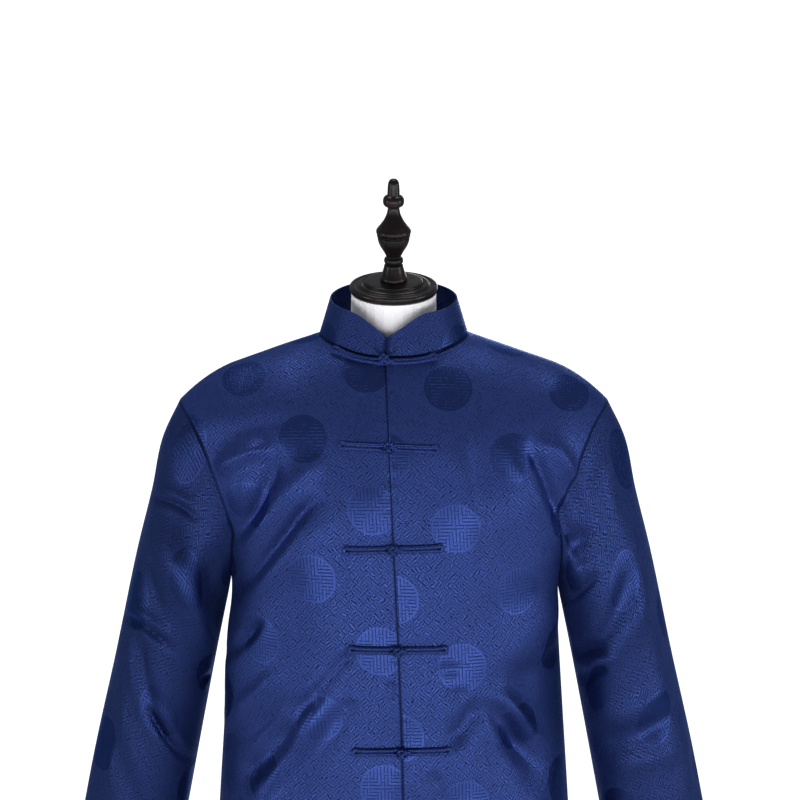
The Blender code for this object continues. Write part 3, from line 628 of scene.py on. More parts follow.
def evened_grid(bottom, top, left, right):
    s = np.linspace(0, 1, len(bottom))[:, None, None]
    t = np.linspace(0, 1, len(left))[None, :, None]
    low_corners = (1 - s) * bottom[0] + s * bottom[-1]
    high_corners = (1 - s) * top[0] + s * top[-1]
    grid = (1 - t) * bottom[:, None] + t * top[:, None] + (1 - s) * left[None] + s * right[None]
    grid -= (1 - t) * low_corners + t * high_corners
    for _ in range(RELAX_ROUNDS):
        around = grid[2:, 1:-1] + grid[:-2, 1:-1] + grid[1:-1, 2:] + grid[1:-1, :-2]
        grid[1:-1, 1:-1] = around / 4
    return grid


def finer(grid):
    """Puts a smooth new row between each two rows of a grid, and likewise a new column."""
    for _ in range(2):
        past = np.concatenate([2 * grid[:1] - grid[1:2], grid, 2 * grid[-1:] - grid[-2:-1]])
        made = np.empty((2 * len(grid) - 1, *grid.shape[1:]))
        made[::2] = grid
        made[1::2] = (9 * (past[1:-2] + past[2:-1]) - past[:-3] - past[3:]) / 16
        grid = made.swapaxes(0, 1)
    return grid


opening_turn = math.asin(OPENING[-1][1] / NECKLINE_HALF_WIDTH)


def front_edges(side, parts):
    turns = np.linspace(opening_turn, side * math.pi / 2, parts * NECK_CELLS + 1)
    top = np.concatenate([neckline(turns, -1)[:-1], shoulder_seam(side, parts)])
    right = outer_edge(-1, side, parts)
    low = np.linspace(HEM_Z, UNDERARM_Z, parts * SIDE_CELLS + 1)
    high = np.linspace(UNDERARM_Z, OPENING[-1][0], parts * ARMHOLE_CELLS + 1)
    z = np.concatenate([low[:-1], high])
    left = np.stack(place_on_body(smooth(OPENING, 1, z), z), -1)
    left[-1] = top[0]
    bottom = np.stack([np.linspace(left[0, 0], right[0, 0], len(top)), np.zeros(len(top))], -1)
    return bottom, top, left, right


def front_places(side):
    """A front panel's evened grid with a new row and column in each gap, its edges exact."""
    grid = np.clip(finer(evened_grid(*front_edges(side, 1))), (-1, 0), (1, 2))
    grid[:, 0], grid[:, -1], grid[0], grid[-1] = front_edges(side, 2)
    return grid


def back_places():
    turns = np.linspace(-math.pi / 2, math.pi / 2, BACK_NECK_CELLS + 1)
    neck = neckline(turns, 1)
    top = np.concatenate([shoulder_seam(-1, 1)[::-1][:-1], neck[:-1], shoulder_seam(1, 1)])
    bottom = np.stack([np.linspace(-1, 1, len(top)), np.zeros(len(top))], -1)
    return evened_grid(bottom, top, outer_edge(1, -1, 1), outer_edge(1, 1, 1))


def seam_shift(edge, inside, normals):
    inward = np.cross(normals, np.gradient(edge, axis=0))
    sign = np.sign((inward * (inside - edge)).sum(-1, keepdims=True))
    return unit(inward) * sign * SEAM_GAP / 2


def opened(points, normals):
    moved = points.copy()
    moved[0] += seam_shift(points[0], points[1], normals[0])
    moved[-1] += seam_shift(points[-1], points[-2], normals[-1])
    moved[:, 0] += seam_shift(points[:, 0], points[:, 1], normals[:, 0])
    moved[:, -1] += seam_shift(points[:, -1], points[:, -2], normals[:, -1])
    return moved


def length_tables(face):
    """Lengths on the body from the middle outwards and from the bust line up, over p and q."""
    p = np.linspace(0, 1, 121)
    q = np.linspace(0, 2, 161)
    grid_p, grid_q = np.meshgrid(p, q, indexing="ij")
    points = section_point(grid_p, grid_q, face)
    out = np.zeros_like(grid_p)
    out[1:] = np.cumsum(np.linalg.norm(np.diff(points, axis=0), axis=-1), axis=0)
    up = np.zeros_like(grid_p)
    up[:, 1:] = np.cumsum(np.linalg.norm(np.diff(points, axis=1), axis=-1), axis=1)
    bust = np.abs(q - 1).argmin()
    return out, up - up[:, bust : bust + 1]


def read_table(table, p, q):
    a = np.clip(np.abs(p) * 120, 0, 119.999)
    b = np.clip(q * 80, 0, 159.999)
    i, j = a.astype(int), b.astype(int)
    s, t = a - i, b - j
    low = table[i, j] * (1 - s) + table[i + 1, j] * s
    high = table[i, j + 1] * (1 - s) + table[i + 1, j + 1] * s
    return low * (1 - t) + high * t


def body_cloth_map(p, q, face, shift_u, shift_v):
    """The cloth map of a body panel: across from the middle and up from the bust line."""
    out, up = length_tables(face)
    u = read_table(out, p, q) * np.sign(p)
    if face < 0:
        u -= smooth(OPENING, 1, HEM_Z + (BUST_Z - HEM_Z) * q)
    return np.stack([u - shift_u, read_table(up, p, q) - shift_v], -1)


SEAMS_APART = 2.0  # each seam has its own stretch of the places along it


def edge_distance(points, edges):
    """Distance of each point of a grid to the nearest of some seams, and the place along it."""
    flat = points.reshape(-1, 3)
    best = np.full(len(flat), 1.0)
    along = np.zeros(len(flat))
    for number, edge in enumerate(edges):
        length = run_along(edge) + number * SEAMS_APART
        for start in range(0, len(flat), 4000):
            part = slice(start, start + 4000)
            squares = ((flat[part, None] - edge[None]) ** 2).sum(-1)
            distance = np.sqrt(squares.min(1))
            closer = distance < best[part]
            best[part] = np.where(closer, distance, best[part])
            along[part] = np.where(closer, length[squares.argmin(1)], along[part])
    return np.stack([best, along], -1).reshape(*points.shape[:2], 2)


def clear_of_form(points, normals, room):
    """Moves points out where they come nearer to the form than the room they need."""
    tree = BVHTree.FromPolygons(
        [tuple(v.co) for v in nodes["form"].data.vertices],
        [tuple(face.vertices) for face in nodes["form"].data.polygons],
    )
    flat = points.reshape(-1, 3).copy()
    flat_normals = normals.reshape(-1, 3)
    for i, point in enumerate(flat):
        place, out, _, distance = tree.find_nearest(Vector(point))
        if distance > room * 4:
            continue
        height = (Vector(point) - place).dot(out)
        if height < room:
            flat[i] = point + flat_normals[i] * (room - height)
    return flat.reshape(points.shape)


def add_piece(name, points, faces, finish, node, maps, crease):
    """A smooth closed piece with its maps and finish, which stands for a solid."""
    mesh = bpy.data.meshes.new(name)
    mesh.from_pydata(points, [], faces)
    for map_name, values in maps.items():
        layer = mesh.uv_layers.new(name=map_name)
        layer.data.foreach_set("uv", values.astype(np.float32).ravel())
    shape = bmesh.new()
    shape.from_mesh(mesh)
    bmesh.ops.recalc_face_normals(shape, faces=shape.faces)
    shape.to_mesh(mesh)
    shape.free()
    mesh.shade_smooth()
    if crease:
        mesh.set_sharp_from_angle(angle=math.radians(crease))
    mesh.materials.append(finish)
    made = bpy.data.objects.new(name, mesh)
    bpy.context.collection.objects.link(made)
    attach(made, "root")
    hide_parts(node)
    return made


def add_cloth(name, outer, inner, cloth_map, seam_map, finish, node, around=False):
    """A wall of cloth between two grids of points, with its two maps."""
    rows, columns = outer.shape[:2]
    count = rows * columns
    faces = []
    places = []
    for i in range(rows if around else rows - 1):
        a = i * columns
        b = (i + 1) % rows * columns
        map_b = (i + 1) * columns
        for j in range(columns - 1):
            faces.append((a + j, b + j, b + j + 1, a + j + 1))
            places.append((a + j, map_b + j, map_b + j + 1, a + j + 1))
            faces.append((count + a + j, count + a + j + 1, count + b + j + 1, count + b + j))
            places.append((a + j, a + j + 1, map_b + j + 1, map_b + j))
        for j in (0, columns - 1):
            faces.append((a + j, b + j, count + b + j, count + a + j))
            places.append((a + j, map_b + j, map_b + j, a + j))
    if not around:
        for i in (0, rows - 1):
            for j in range(columns - 1):
                a = i * columns + j
                faces.append((a, a + 1, count + a + 1, count + a))
                places.append((a, a + 1, a + 1, a))
    order = np.array(places).reshape(-1)
    maps = {"cloth": cloth_map.reshape(-1, 2)[order], "seam": seam_map.reshape(-1, 2)[order]}
    points = np.concatenate([outer.reshape(-1, 3), inner.reshape(-1, 3)]).tolist()
    return add_piece(name, points, faces, finish, node, maps, 55)


def add_panel(name, places, face, shift_u, shift_v, node):
    """A panel of the body, with seams along its two sides and its top."""
    p, q = places[..., 0], places[..., 1]
    points, normals = body_surface(p, q, face)
    outer = clear_of_form(opened(points, normals), normals, WALL + AIR)
    cloth_map = body_cloth_map(p, q, face, shift_u, shift_v)
    seam_map = edge_distance(outer, [outer[0], outer[-1], outer[:, -1]])
    inner = outer - normals * WALL
    return add_cloth(name, outer, inner, cloth_map, seam_map, body_satin, node)


front_left = add_panel("front_left_panel", front_places(1), -1, 0.0672, 0.0298, "front_left")
front_right = add_panel("front_right_panel", front_places(-1), -1, -0.0190, 0.0498, "front_right")
back_panel = add_panel("back_panel", back_places(), 1, 0.0, 0.0300, "back")


# Sleeves: cut whole from the same satin, set in at the armholes and hanging down to open cuffs.
# Their colours are darkened as painted shade, the right sleeve's more than the left's.
right_sleeve_painted_shade = satin_material("blue_figured_satin_right_sleeve_painted_shade", 0.60, 0.12)
left_sleeve_painted_shade = satin_material("blue_figured_satin_left_sleeve_painted_shade", 0.74, 0.12)
SLEEVE = (
    (0.00, 0.2295, 1.3943, 0.1765, 1.2000, 0.066, 0.000),
    (0.08, 0.2478, 1.3560, 0.1790, 1.1850, 0.068, 0.000),
    (0.20, 0.2609, 1.2980, 0.1842, 1.1600, 0.071, -0.001),
    (0.35, 0.2784, 1.2290, 0.1929, 1.1180, 0.071, -0.003),
    (0.55, 0.3025, 1.1180, 0.2081, 1.0400, 0.066, -0.007),
    (0.75, 0.3289, 1.0020, 0.2255, 0.9480, 0.060, -0.014),
    (1.00, 0.3655, 0.8105, 0.2560, 0.7890, 0.052, -0.024),
)
CAP_BLEND = 0.30
SLEEVE_CELLS = 190
SLEEVE_SEAM_GAP = -0.0002  # the sleeve's head laps the body's edge
SLEEVE_WAVES = 0.0009
HEAD_CROWDING = 1.1
FOLDS_FROM_HEAD = 0.08
FOLDS_FROM_EDGE = 0.55
RIGHT_SLEEVE_FOLDS = (
    (-262.2, 1290.4, -234.7, 1291.3, -211.7, 1278.7, 3.8, -4),
    (-259.5, 1301, -234.4, 1301, -211.3, 1289.7, 6, 2.2),
    (-266.2, 1230.4, -256.6, 1202.5, -246.5, 1168.5, 10, -4.5),
    (-239.1, 1259.1, -221.6, 1194.7, -195.8, 1114.1, 17, 10),
    (-199.3, 1236.3, -190.3, 1183.7, -190.6, 1122.7, 12, -6),
    (-293.4, 1158, -267, 1157.8, -239.9, 1139.1, 4.2, -5),
    (-290.1, 1169.6, -263.9, 1168.9, -238.3, 1151.4, 6, 2.5),
    (-272.3, 1142.1, -266.5, 1095, -240.7, 1032.4, 9, -5),
    (-208.2, 1093.5, -200.8, 1091.3, -198.6, 1088.9, 5, -5),
    (-262.9, 1068.2, -247.4, 1040.9, -218.5, 997, 3.6, -4.6),
    (-257, 1075.9, -240.6, 1049.2, -214, 1006.7, 6, 2.6),
    (-304, 1073, -312, 1029, -326, 967, 10, -2.6),
    (-317.6, 963.2, -297.6, 933.2, -257.6, 918.2, 8, -3.4),
    (-333.7, 884.2, -308.7, 864.2, -273.7, 866.2, 11, 2.8),
)
LEFT_SLEEVE_FOLDS = (
    (179.2, 1237.1, 191.3, 1250.2, 206.8, 1261.9, 11, -5),
    (181.4, 1206.5, 195.2, 1217.5, 213.7, 1230.4, 9, 3),
    (188.3, 1181, 199.9, 1197.9, 215.1, 1216.5, 4.5, -4),
    (193.6, 1120.8, 227.3, 1158.4, 246.3, 1212.4, 10, -5.6),
    (213.8, 1116.3, 246.7, 1150.9, 269.8, 1198.2, 14, 4),
    (198, 1118.2, 209.4, 1131.1, 228, 1134, 5.5, -5.8),
    (203.1, 1087.9, 211.5, 1102.1, 225.5, 1111.3, 5, -4.8),
    (205.7, 1108.6, 219.6, 1121.7, 238, 1127, 6, 3.5),
    (220.6, 1023.1, 263.7, 1042.5, 313.2, 1062.4, 13, -5.6),
    (224.8, 1051.4, 260, 1070.2, 303.4, 1097.2, 13, 3.5),
    (230.5, 995.5, 267.7, 1010.6, 323.2, 1021.4, 12, 3),
    (328.4, 953.7, 298.4, 928.7, 260.4, 923.7, 8, -4.3),
    (339, 874.3, 311, 856.3, 279, 860.3, 11, 3.5),
)
BACK_OF_SLEEVE_FOLDS = (
    (250, 1300, 232, 1270, 205, 1250, 8, -4.5),
    (275, 1200, 250, 1170, 215, 1165, 9, -5),
    (270, 1230, 250, 1205, 215, 1195, 9, 4),
    (300, 1110, 270, 1085, 225, 1090, 10, -5),
    (300, 1060, 280, 1045, 240, 1050, 10, 4),
    (320, 970, 290, 950, 250, 955, 11, -4.5),
)


def grid_normals(points, around=False):
    if around:
        along_i = np.roll(points, -1, axis=0) - np.roll(points, 1, axis=0)
    else:
        along_i = np.gradient(points, axis=0)
    return unit(np.cross(along_i, np.gradient(points, axis=1)))


def armhole_ring(side):
    front = armhole_line(-1, side, 2 * ARMHOLE_CELLS)[::-1]
    rear = armhole_line(1, side, 2 * ARMHOLE_CELLS)
    front_points, front_normals = body_surface(front[:, 0], front[:, 1], -1)
    rear_points, rear_normals = body_surface(rear[:, 0], rear[:, 1], 1)
    points = np.concatenate([front_points, rear_points[1:-1]])
    normals = np.concatenate([front_normals, rear_normals[1:-1]])
    around = np.roll(points, -1, axis=0) - np.roll(points, 1, axis=0)
    return points, unit(np.cross(normals, around)) * side


def sleeve_points(side, shares, ring):
    turn = np.arange(len(ring)) * 2 * math.pi / len(ring)
    value = [smooth(SLEEVE, column, shares) for column in range(1, 7)]
    middle = np.stack([(value[0] + value[2]) / 2 * side, (value[1] + value[3]) / 2], -1)
    reach = np.stack([(value[0] - value[2]) / 2 * side, (value[1] - value[3]) / 2], -1)
    square = np.stack([reach[0][1], -reach[0][0]]) / np.linalg.norm(reach[0])
    from_middle = ring[:, (0, 2)] - middle[0]
    ring_share = from_middle @ reach[0] / (reach[0] @ reach[0])
    ring_off = from_middle @ square
    blend = ease(shares / CAP_BLEND)[None, :, None]
    flat = middle[None] + reach[None] * (
        (1 - blend) * ring_share[:, None, None] + blend * np.cos(turn)[:, None, None]
    )
    flat = flat + square * (1 - blend) * ring_off[:, None, None]
    round_y = value[5][None] - value[4][None] * np.sin(turn)[:, None]
    y = (1 - blend[..., 0]) * ring[:, 1][:, None] + blend[..., 0] * round_y
    return np.stack([flat[..., 0], y, flat[..., 1]], -1)


def add_sleeve(name, side, rows, shift_u, shift_v, finish, node):
    shares = np.linspace(0, 1, SLEEVE_CELLS + 1) ** HEAD_CROWDING
    ring, across = armhole_ring(side)
    points = sleeve_points(side, shares, ring)
    normals = grid_normals(points, around=True) * side
    x, z = points[..., 0], points[..., 2]
    middle_y = smooth(SLEEVE, 6, shares)[None]
    half_depth = smooth(SLEEVE, 5, shares)[None]
    forward = ease(0.5 - (points[..., 1] - middle_y) / half_depth / 1.2)
    lift = fold_lift(x, z, rows) * forward
    lift += fold_lift(np.abs(x), z, BACK_OF_SLEEVE_FOLDS) * (1 - forward)
    turn = np.arange(len(ring)) * 2 * math.pi / len(ring)
    girth = np.cumsum(np.linalg.norm(np.roll(points, -1, axis=0) - points, axis=-1), axis=0)
    steps = np.linalg.norm(np.diff(points, axis=1), axis=-1)
    run = np.concatenate([np.zeros((len(ring), 1)), np.cumsum(steps, axis=1)], 1)
    lift += waves(points[..., 1] + x * side, run, 31 + side, SLEEVE_WAVES)
    inward = ease(np.abs(np.sin(turn)) / FOLDS_FROM_EDGE)[:, None]
    lift *= ease(shares / FOLDS_FROM_HEAD)[None] * inward
    points = points + normals * lift[..., None]
    toward = np.maximum((normals[:, 0] * across).sum(-1, keepdims=True), 0)
    edge_normals = unit(normals[:, 0] - toward * across)
    inner = points - normals * WALL
    inner[:, 0] = points[:, 0] - edge_normals * WALL
    points[:, 0] += across * SLEEVE_SEAM_GAP
    inner[:, 0] += across * SLEEVE_SEAM_GAP
    u = np.concatenate([np.zeros((1, girth.shape[1])), girth]) - girth[-1:] / 4
    middle_run = run.mean(0)[None] * np.ones((len(ring) + 1, 1))
    cloth_map = np.stack([u - shift_u, -middle_run - shift_v], -1)
    closed = np.concatenate([points, points[:1]])
    seam_map = edge_distance(closed, [closed[:, 0]])
    return add_cloth(name, points, inner, cloth_map, seam_map, finish, node, around=True)


sleeve_left = add_sleeve(
    "left_sleeve", 1, LEFT_SLEEVE_FOLDS, -0.025, 0.0316, left_sleeve_painted_shade, "sleeve_left"
)
sleeve_right = add_sleeve(
    "right_sleeve", -1, RIGHT_SLEEVE_FOLDS, 0.0073, 0.0586, right_sleeve_painted_shade, "sleeve_right"
)


# Collar: a stand collar of doubled satin with its front corners cut away, sewn into the neckline.
# Its two ends meet at the centre front, over the frog at the neck.
# The collar's satin is darkened to two thirds as painted shade.
collar_painted_shade_satin = satin_material("blue_figured_satin_collar_painted_shade", 0.66)
COLLAR_HEIGHT = 0.045
COLLAR_TOP_HALF_WIDTH = 0.0675
COLLAR_TOP_HALF_DEPTH = 0.060
COLLAR_TOP_Y = -0.015
COLLAR_TOP_Z = 1.507
COLLAR_CORNER_REACH = 0.045
COLLAR_CORNER_CUT = 0.52
COLLAR_FRONT_LEAN = math.radians(3.3)
COLLAR_LEAN_SPAN = 0.8
COLLAR_CELLS = 14
NECK_TILT = math.radians(10.0)
NECK_FOOT = np.array((0.0, -0.009, 1.4615))
left_turns = np.linspace(opening_turn, math.pi / 2, NECK_CELLS + 1)
back_turns = np.linspace(math.pi / 2, -math.pi / 2, BACK_NECK_CELLS + 1)[1:]
right_turns = np.linspace(-math.pi / 2, opening_turn, NECK_CELLS + 1)[1:]
foot = []
turns = []
for line_turns, face, around in (
    (left_turns, -1, left_turns),
    (back_turns, 1, math.pi - back_turns),
    (right_turns, -1, 2 * math.pi + right_turns),
):
    line = neckline(line_turns, face)
    foot.append(body_surface(line[:, 0], line[:, 1], face)[0])
    turns.append(around)
foot = np.concatenate(foot)
turns = np.concatenate(turns)
near_front = np.minimum(turns - turns[0], turns[-1] - turns)
lean = COLLAR_FRONT_LEAN * ease(1 - near_front / COLLAR_LEAN_SPAN)
gap = np.zeros_like(turns)
gap[0] = SEAM_GAP / NECKLINE_HALF_WIDTH
gap[-1] = -gap[0]
top_turn = turns + lean + gap * 1.6
offset_y = -COLLAR_TOP_HALF_DEPTH * np.cos(top_turn)
top_x = COLLAR_TOP_HALF_WIDTH * np.sin(top_turn)
top_z = COLLAR_TOP_Z + offset_y * math.tan(NECK_TILT)
collar_top = np.stack([top_x, COLLAR_TOP_Y + offset_y, top_z], -1)
foot = foot + np.stack([gap * NECKLINE_HALF_WIDTH, gap * 0, gap * 0 + SEAM_GAP * 1.2], -1)
reach = near_front * COLLAR_TOP_HALF_WIDTH / COLLAR_CORNER_REACH
height = 1 - COLLAR_CORNER_CUT * np.maximum(1 - reach, 0) ** 1.6
share = height[:, None, None] * np.linspace(0, 1, COLLAR_CELLS + 1)[None, :, None]
outer = foot[:, None] * (1 - share) + collar_top[:, None] * share
normals = grid_normals(outer)
normals *= np.sign((normals * (outer - NECK_FOOT)).sum(-1, keepdims=True))
inner = outer - normals * WALL
inner[:, 0, 2] = outer[:, 0, 2]
run = run_along(foot)
cloth_map = np.stack([run[:, None] + 0 * outer[..., 0], share[..., 0] * COLLAR_HEIGHT], -1)
cloth_map -= (0.02, 0.07)
seam_map = edge_distance(outer, [outer[:, 0], outer[0], outer[-1]])
collar = add_cloth("stand_collar", outer, inner, cloth_map, seam_map, collar_painted_shade_satin, "collar")


# Frogs: doubled satin cord sewn down in two arms, one on each front. The left arm ends in a
# knotted ball, which goes through the loop of the right arm. Each row of FROGS is the level at the
# opening and the fall over 100 mm.
# The cord's satin is a little darkened as painted shade.
cord_painted_shade_satin = satin_material("blue_satin_cord", 0.95)
FROGS = (
    (1.3624, 0.0040),
    (1.2584, -0.0022),
    (1.1512, 0.0006),
    (1.0405, -0.0007),
    (0.9310, 0.0012),
    (0.8215, -0.0008),
)
NECK_FROG_BELOW_SEAM = 0.0052
CORD_RADIUS = 0.0023
ARM_START = 0.0070
ARM_BEND = 0.0485
ARM_OPENING = 0.0011
LOOP_START = 0.0035
LOOP_OPENING = 0.0014
KNOT_HEIGHT = 0.0063
KNOT_RADIUS = 0.0042
KNOT_CORD_RADIUS = 0.0017
STEM_RADIUS = 0.0026
STEM = np.array(((0.0085, 0.0030), (0.0060, 0.0036), (0.0035, 0.0044), (0.0010, 0.0056)))
FROG_REACH = np.linspace(-0.056, 0.056, 113)


def frog_line(level, fall):
    return smooth(OPENING, 1, level) + FROG_REACH, level - fall * FROG_REACH / 0.1


def neck_frog_line():
    turn = np.arcsin((OPENING[-1][1] + FROG_REACH) / NECKLINE_HALF_WIDTH)
    line = neckline(turn[:, None] + np.array((-0.01, 0.0, 0.01)), -1)
    points, normals = smooth_body(line[..., 0], line[..., 1], -1)
    down = unit(np.cross(normals[:, 1], points[:, 2] - points[:, 0]))
    place = points[:, 1] - down * np.sign(down[:, 2:]) * NECK_FROG_BELOW_SEAM
    return place[:, 0], place[:, 2]


def frog_track(x, z):
    """Places, normals, directions along and across on the cloth under a frog."""
    points, normals = body_surface(*place_on_body(x, z), -1)
    along = unit(np.gradient(points, axis=0))
    return np.concatenate([points, normals, along, np.cross(normals, along)], 1)


def on_track(track, distances):
    columns = [np.interp(distances, FROG_REACH, column) for column in track.T]
    return np.stack(columns, -1).reshape(-1, 4, 3).swapaxes(0, 1)


def tube_faces(count, sides, closed):
    """Faces between rings of points, with the two ends of a tube that isn't closed in itself."""
    faces = []
    for i in range(count if closed else count - 1):
        for k in range(sides):
            a, b = i * sides, (i + 1) % count * sides
            faces.append((a + k, b + k, b + (k + 1) % sides, a + (k + 1) % sides))
    if not closed:
        faces.append(tuple(range(sides)))
        faces.append(tuple(range((count - 1) * sides, count * sides)))
    return faces


def sweep(path, radius, sides, closed):
    """Vertices and faces of a round cord along a path."""
    count = len(path)
    if closed:
        tangent = np.roll(path, -1, axis=0) - np.roll(path, 1, axis=0)
    else:
        tangent = np.gradient(path, axis=0)
    tangent = unit(tangent)
    aside = np.zeros_like(path)
    aside[0] = unit(np.cross(tangent[0], (0.3, 0.2, 0.93)))
    for i in range(1, count):
        aside[i] = unit(aside[i - 1] - tangent[i] * (aside[i - 1] @ tangent[i]))
    twist = 0.0
    if closed:
        last = unit(aside[-1] - tangent[0] * (aside[-1] @ tangent[0]))
        twist = math.atan2(np.cross(last, aside[0]) @ tangent[0], last @ aside[0])
    over = np.cross(tangent, aside)
    turn = np.arange(sides) * 2 * math.pi / sides
    angle = turn[None] + (np.arange(count) / count * twist)[:, None]
    rings = path[:, None] + radius * (
        np.cos(angle)[..., None] * aside[:, None] + np.sin(angle)[..., None] * over[:, None]
    )
    return rings.reshape(-1, 3), tube_faces(count, sides, closed)


def racetrack(track, start, end, start_half, end_half):
    """A closed path of one cord that runs out along a frog's arm and back."""
    share = np.linspace(0, 1, 15)
    along = start + (end - start) * share
    spread_out = start_half * (1 - ease(share / 0.16)) + end_half * ease((share - 0.88) / 0.12)
    off = CORD_RADIUS * 0.80 + spread_out
    bend = np.linspace(0, math.pi, 7)[1:-1]
    outward = math.copysign(1, end - start)
    path = [*zip(along, off)]
    path += [(end + outward * off[-1] * math.sin(t) * 0.8, off[-1] * math.cos(t)) for t in bend]
    path += [*zip(along[::-1], -off[::-1])]
    path += [(start - outward * off[0] * math.sin(t), -off[0] * math.cos(t)) for t in bend]
    path = np.array(path)
    point, normal, _, across = on_track(track, path[:, 0])
    return point + across * path[:, 1:] + normal * (CORD_RADIUS * 0.95 + 0.0003)


def knot_path(track):
    """A woven ball: a cord that goes three times round, over and under itself."""
    point, normal, along, across = on_track(track, np.zeros(1))[:, 0]
    centre = point + normal * KNOT_HEIGHT
    t = np.linspace(0, 2 * math.pi * 3, 97)[:-1]
    tilt = 0.78 * np.cos(t * 4 / 3)
    radius = KNOT_RADIUS + 0.0009 * np.sin(t * 8 / 3)
    flat = np.cos(tilt) * radius
    return (
        centre
        + (flat * np.cos(t))[:, None] * along
        + (flat * np.sin(t))[:, None] * normal
        + (np.sin(tilt) * radius * 1.25)[:, None] * across
    )


def add_cord_piece(name, parts, node):
    """Cords in one piece. They have no seam near them, so the seam map says a metre."""
    vertices = []
    faces = []
    for part_vertices, part_faces in parts:
        first = len(vertices)
        vertices += part_vertices.tolist()
        faces += [tuple(first + i for i in face) for face in part_faces]
    places = np.array(vertices)[[i for face in faces for i in face]][:, (0, 2)]
    maps = {"cloth": places, "seam": places * 0 + 1.0}
    return add_piece(name, vertices, faces, cord_painted_shade_satin, node, maps, None)


def add_frog(number, x, z):
    track = frog_track(x, z)
    arm_path = racetrack(track, ARM_START, ARM_BEND, 0.0, ARM_OPENING)
    arm = sweep(arm_path, CORD_RADIUS, 10, True)
    knot = sweep(knot_path(track), KNOT_CORD_RADIUS, 8, True)
    point, normal, _, _ = on_track(track, STEM[:, 0])
    stem = sweep(point + normal * STEM[:, 1:], STEM_RADIUS, 10, False)
    loop_path = racetrack(track, -LOOP_START, -ARM_BEND, LOOP_OPENING, ARM_OPENING)
    loop = sweep(loop_path, CORD_RADIUS, 10, True)
    knot_piece = add_cord_piece(f"frog_{number}_knot_arm", [arm, stem, knot], f"frog_{number}_knot")
    loop_piece = add_cord_piece(f"frog_{number}_loop_arm", [loop], f"frog_{number}_loop")
    return knot_piece, loop_piece


frogs = [add_frog(1, *neck_frog_line())]
for number, (level, fall) in enumerate(FROGS, start=2):
    frogs.append(add_frog(number, *frog_line(level, fall)))


# Neck cap and finial: turned wood under black lacquer. The cap lies on the neck's sloping top,
# and the finial stands on the cap. Profiles are levels and radii.
lacquer, lacquer_shader, g = new_material(
    "black_lacquer", {"Specular IOR Level": 0.14, "Coat Weight": 0.10, "Coat Roughness": 0.10}
)
LACQUER_DARK = (0.0050, 0.0042, 0.0046, 1.0)
LACQUER_WORN = (0.016, 0.007, 0.008, 1.0)
grain = g.noise(g.node("ShaderNodeTexCoord").outputs["Object"], 60.0, 4.0)[0]
lacquer_colour = g.colour(g.step(grain, 0.45, 0.75), LACQUER_DARK, LACQUER_WORN)
g.feed(lacquer_shader.inputs["Base Color"], lacquer_colour)
g.feed(lacquer_shader.inputs["Roughness"], g.mix(grain, 0.26, 0.40))
g.bump(lacquer_shader, grain, 0.0006, 0.25)
NECK_TOP = 0.0523
REST_GAP = 0.0003
CAP_DEPTH = 0.0130
CAP = (
    (-0.0130, 0.0425), (-0.0126, 0.0448), (-0.0108, 0.0464), (-0.0080, 0.0469), (-0.0058, 0.0466),
    (-0.0045, 0.0452), (-0.0042, 0.0425), (-0.0050, 0.0405), (-0.0046, 0.0385), (-0.0030, 0.0372),
    (-0.0022, 0.0350), (-0.0030, 0.0330), (-0.0030, 0.0314), (-0.0010, 0.0310), (0.0000, 0.0298),
    (0.0000, 0.0200),
)
FINIAL = (
    (0.0000, 0.0143), (0.0022, 0.0144), (0.0038, 0.0140), (0.0060, 0.0130), (0.0095, 0.0118),
    (0.0150, 0.0103), (0.0174, 0.0099), (0.0182, 0.0080), (0.0192, 0.0094), (0.0206, 0.0101),
    (0.0220, 0.0102), (0.0234, 0.0101), (0.0248, 0.0094), (0.0258, 0.0078), (0.0268, 0.0079),
    (0.0315, 0.0102), (0.0388, 0.0148), (0.0440, 0.0166), (0.0478, 0.0172), (0.0484, 0.0162),
    (0.0490, 0.0174), (0.0498, 0.0179), (0.0506, 0.0174), (0.0511, 0.0164), (0.0518, 0.0181),
    (0.0540, 0.0186), (0.0562, 0.0182), (0.0610, 0.0142), (0.0662, 0.0105), (0.0736, 0.0071),
    (0.0795, 0.0061), (0.0806, 0.0063), (0.0818, 0.0092), (0.0840, 0.0109), (0.0872, 0.0114),
    (0.0904, 0.0109), (0.0926, 0.0092), (0.0938, 0.0066), (0.0950, 0.0066), (0.1025, 0.0063),
    (0.1070, 0.0058), (0.1096, 0.0047), (0.1110, 0.0030), (0.1114, 0.0008),
)


def rounded(rows, rounds=2):
    """Cuts the corners of a profile so that it turns softly."""
    path = [np.array(row, float) for row in rows]
    for _ in range(rounds):
        cut = [path[0]]
        for a, b in zip(path, path[1:]):
            cut.append(a * 0.8 + b * 0.2)
            cut.append(a * 0.2 + b * 0.8)
        cut.append(path[-1])
        path = cut
    return path


def turned(name, profile, cells, finish, node, slot):
    """A piece turned around its upright axis, closed at both ends."""
    points = []
    for level, radius in profile:
        for k in range(cells):
            turn = 2 * math.pi * k / cells
            points.append((radius * math.cos(turn), radius * math.sin(turn), level))
    faces = tube_faces(len(profile), cells, False)
    return add_piece(name, points, faces, finish, node, {}, 50)


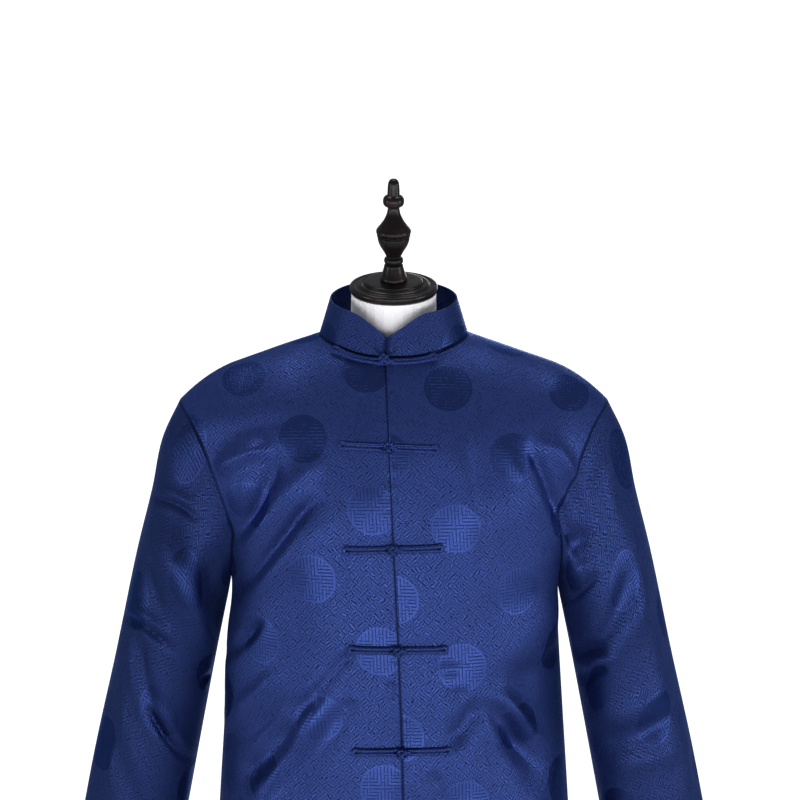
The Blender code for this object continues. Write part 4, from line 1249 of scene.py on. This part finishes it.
def stand_on_neck(piece, lift):
    axis = Vector((0.0, -math.sin(NECK_TILT), math.cos(NECK_TILT)))
    piece.location = Vector(NECK_FOOT) + axis * lift
    piece.rotation_euler = (NECK_TILT, 0.0, 0.0)


cap = turned("turned_neck_cap", rounded(CAP), 96, lacquer, "neck_cap", "black_lacquer")
stand_on_neck(cap, NECK_TOP + REST_GAP + CAP_DEPTH)
finial = turned("turned_finial", rounded(FINIAL), 64, lacquer, "finial", "black_lacquer")
stand_on_neck(finial, NECK_TOP + 2 * REST_GAP + CAP_DEPTH)


# Pole and base: black painted steel. The pole is held in the base's socket, and the flange on its
# top carries the form.
STEEL_COLOUR = (0.015, 0.015, 0.016, 1.0)
steel, steel_shader, g = new_material("black_painted_steel", {"Base Color": STEEL_COLOUR})
specks = g.noise(None, 220.0)[0]
g.feed(steel_shader.inputs["Roughness"], g.mix(specks, 0.28, 0.42))
POLE = (
    (0.0353, 0.0136), (0.0357, 0.0140), (0.7237, 0.0140),
    (0.7247, 0.0380), (0.7290, 0.0400), (0.7297, 0.0398),
)
BASE = (
    (0.0000, 0.1878), (0.0008, 0.1892), (0.0022, 0.1900), (0.0075, 0.1900), (0.0100, 0.1888),
    (0.0118, 0.1850), (0.0122, 0.1780), (0.0128, 0.0300), (0.0140, 0.0280), (0.0325, 0.0242),
    (0.0346, 0.0232), (0.0350, 0.0218),
)
turned("stand_pole", POLE, 48, steel, "pole", "black_painted_steel")
turned("round_base", BASE, 128, steel, "base", "black_painted_steel")


# Form: a foam torso under a plain knitted stretch cover, which is bright where light grazes it.
# The solid keeps its shape.
COVER_SHADE = (0.84, 0.83, 0.855, 1.0)
COVER_LIGHT = (0.92, 0.91, 0.93, 1.0)
cover, cover_shader, g = new_material(
    "form_cover", {"Roughness": 0.8, "Sheen Weight": 1.0, "Sheen Roughness": 0.6}
)
knit = g.noise(g.node("ShaderNodeTexCoord").outputs["Object"], 900.0)[0]
g.feed(cover_shader.inputs["Base Color"], g.colour(knit, COVER_SHADE, COVER_LIGHT))
g.bump(cover_shader, knit, 0.0004, None)
form = nodes["form"].data
form.materials.clear()
form.materials.append(cover)
form.shade_smooth()
form.set_sharp_from_angle(angle=math.radians(35))
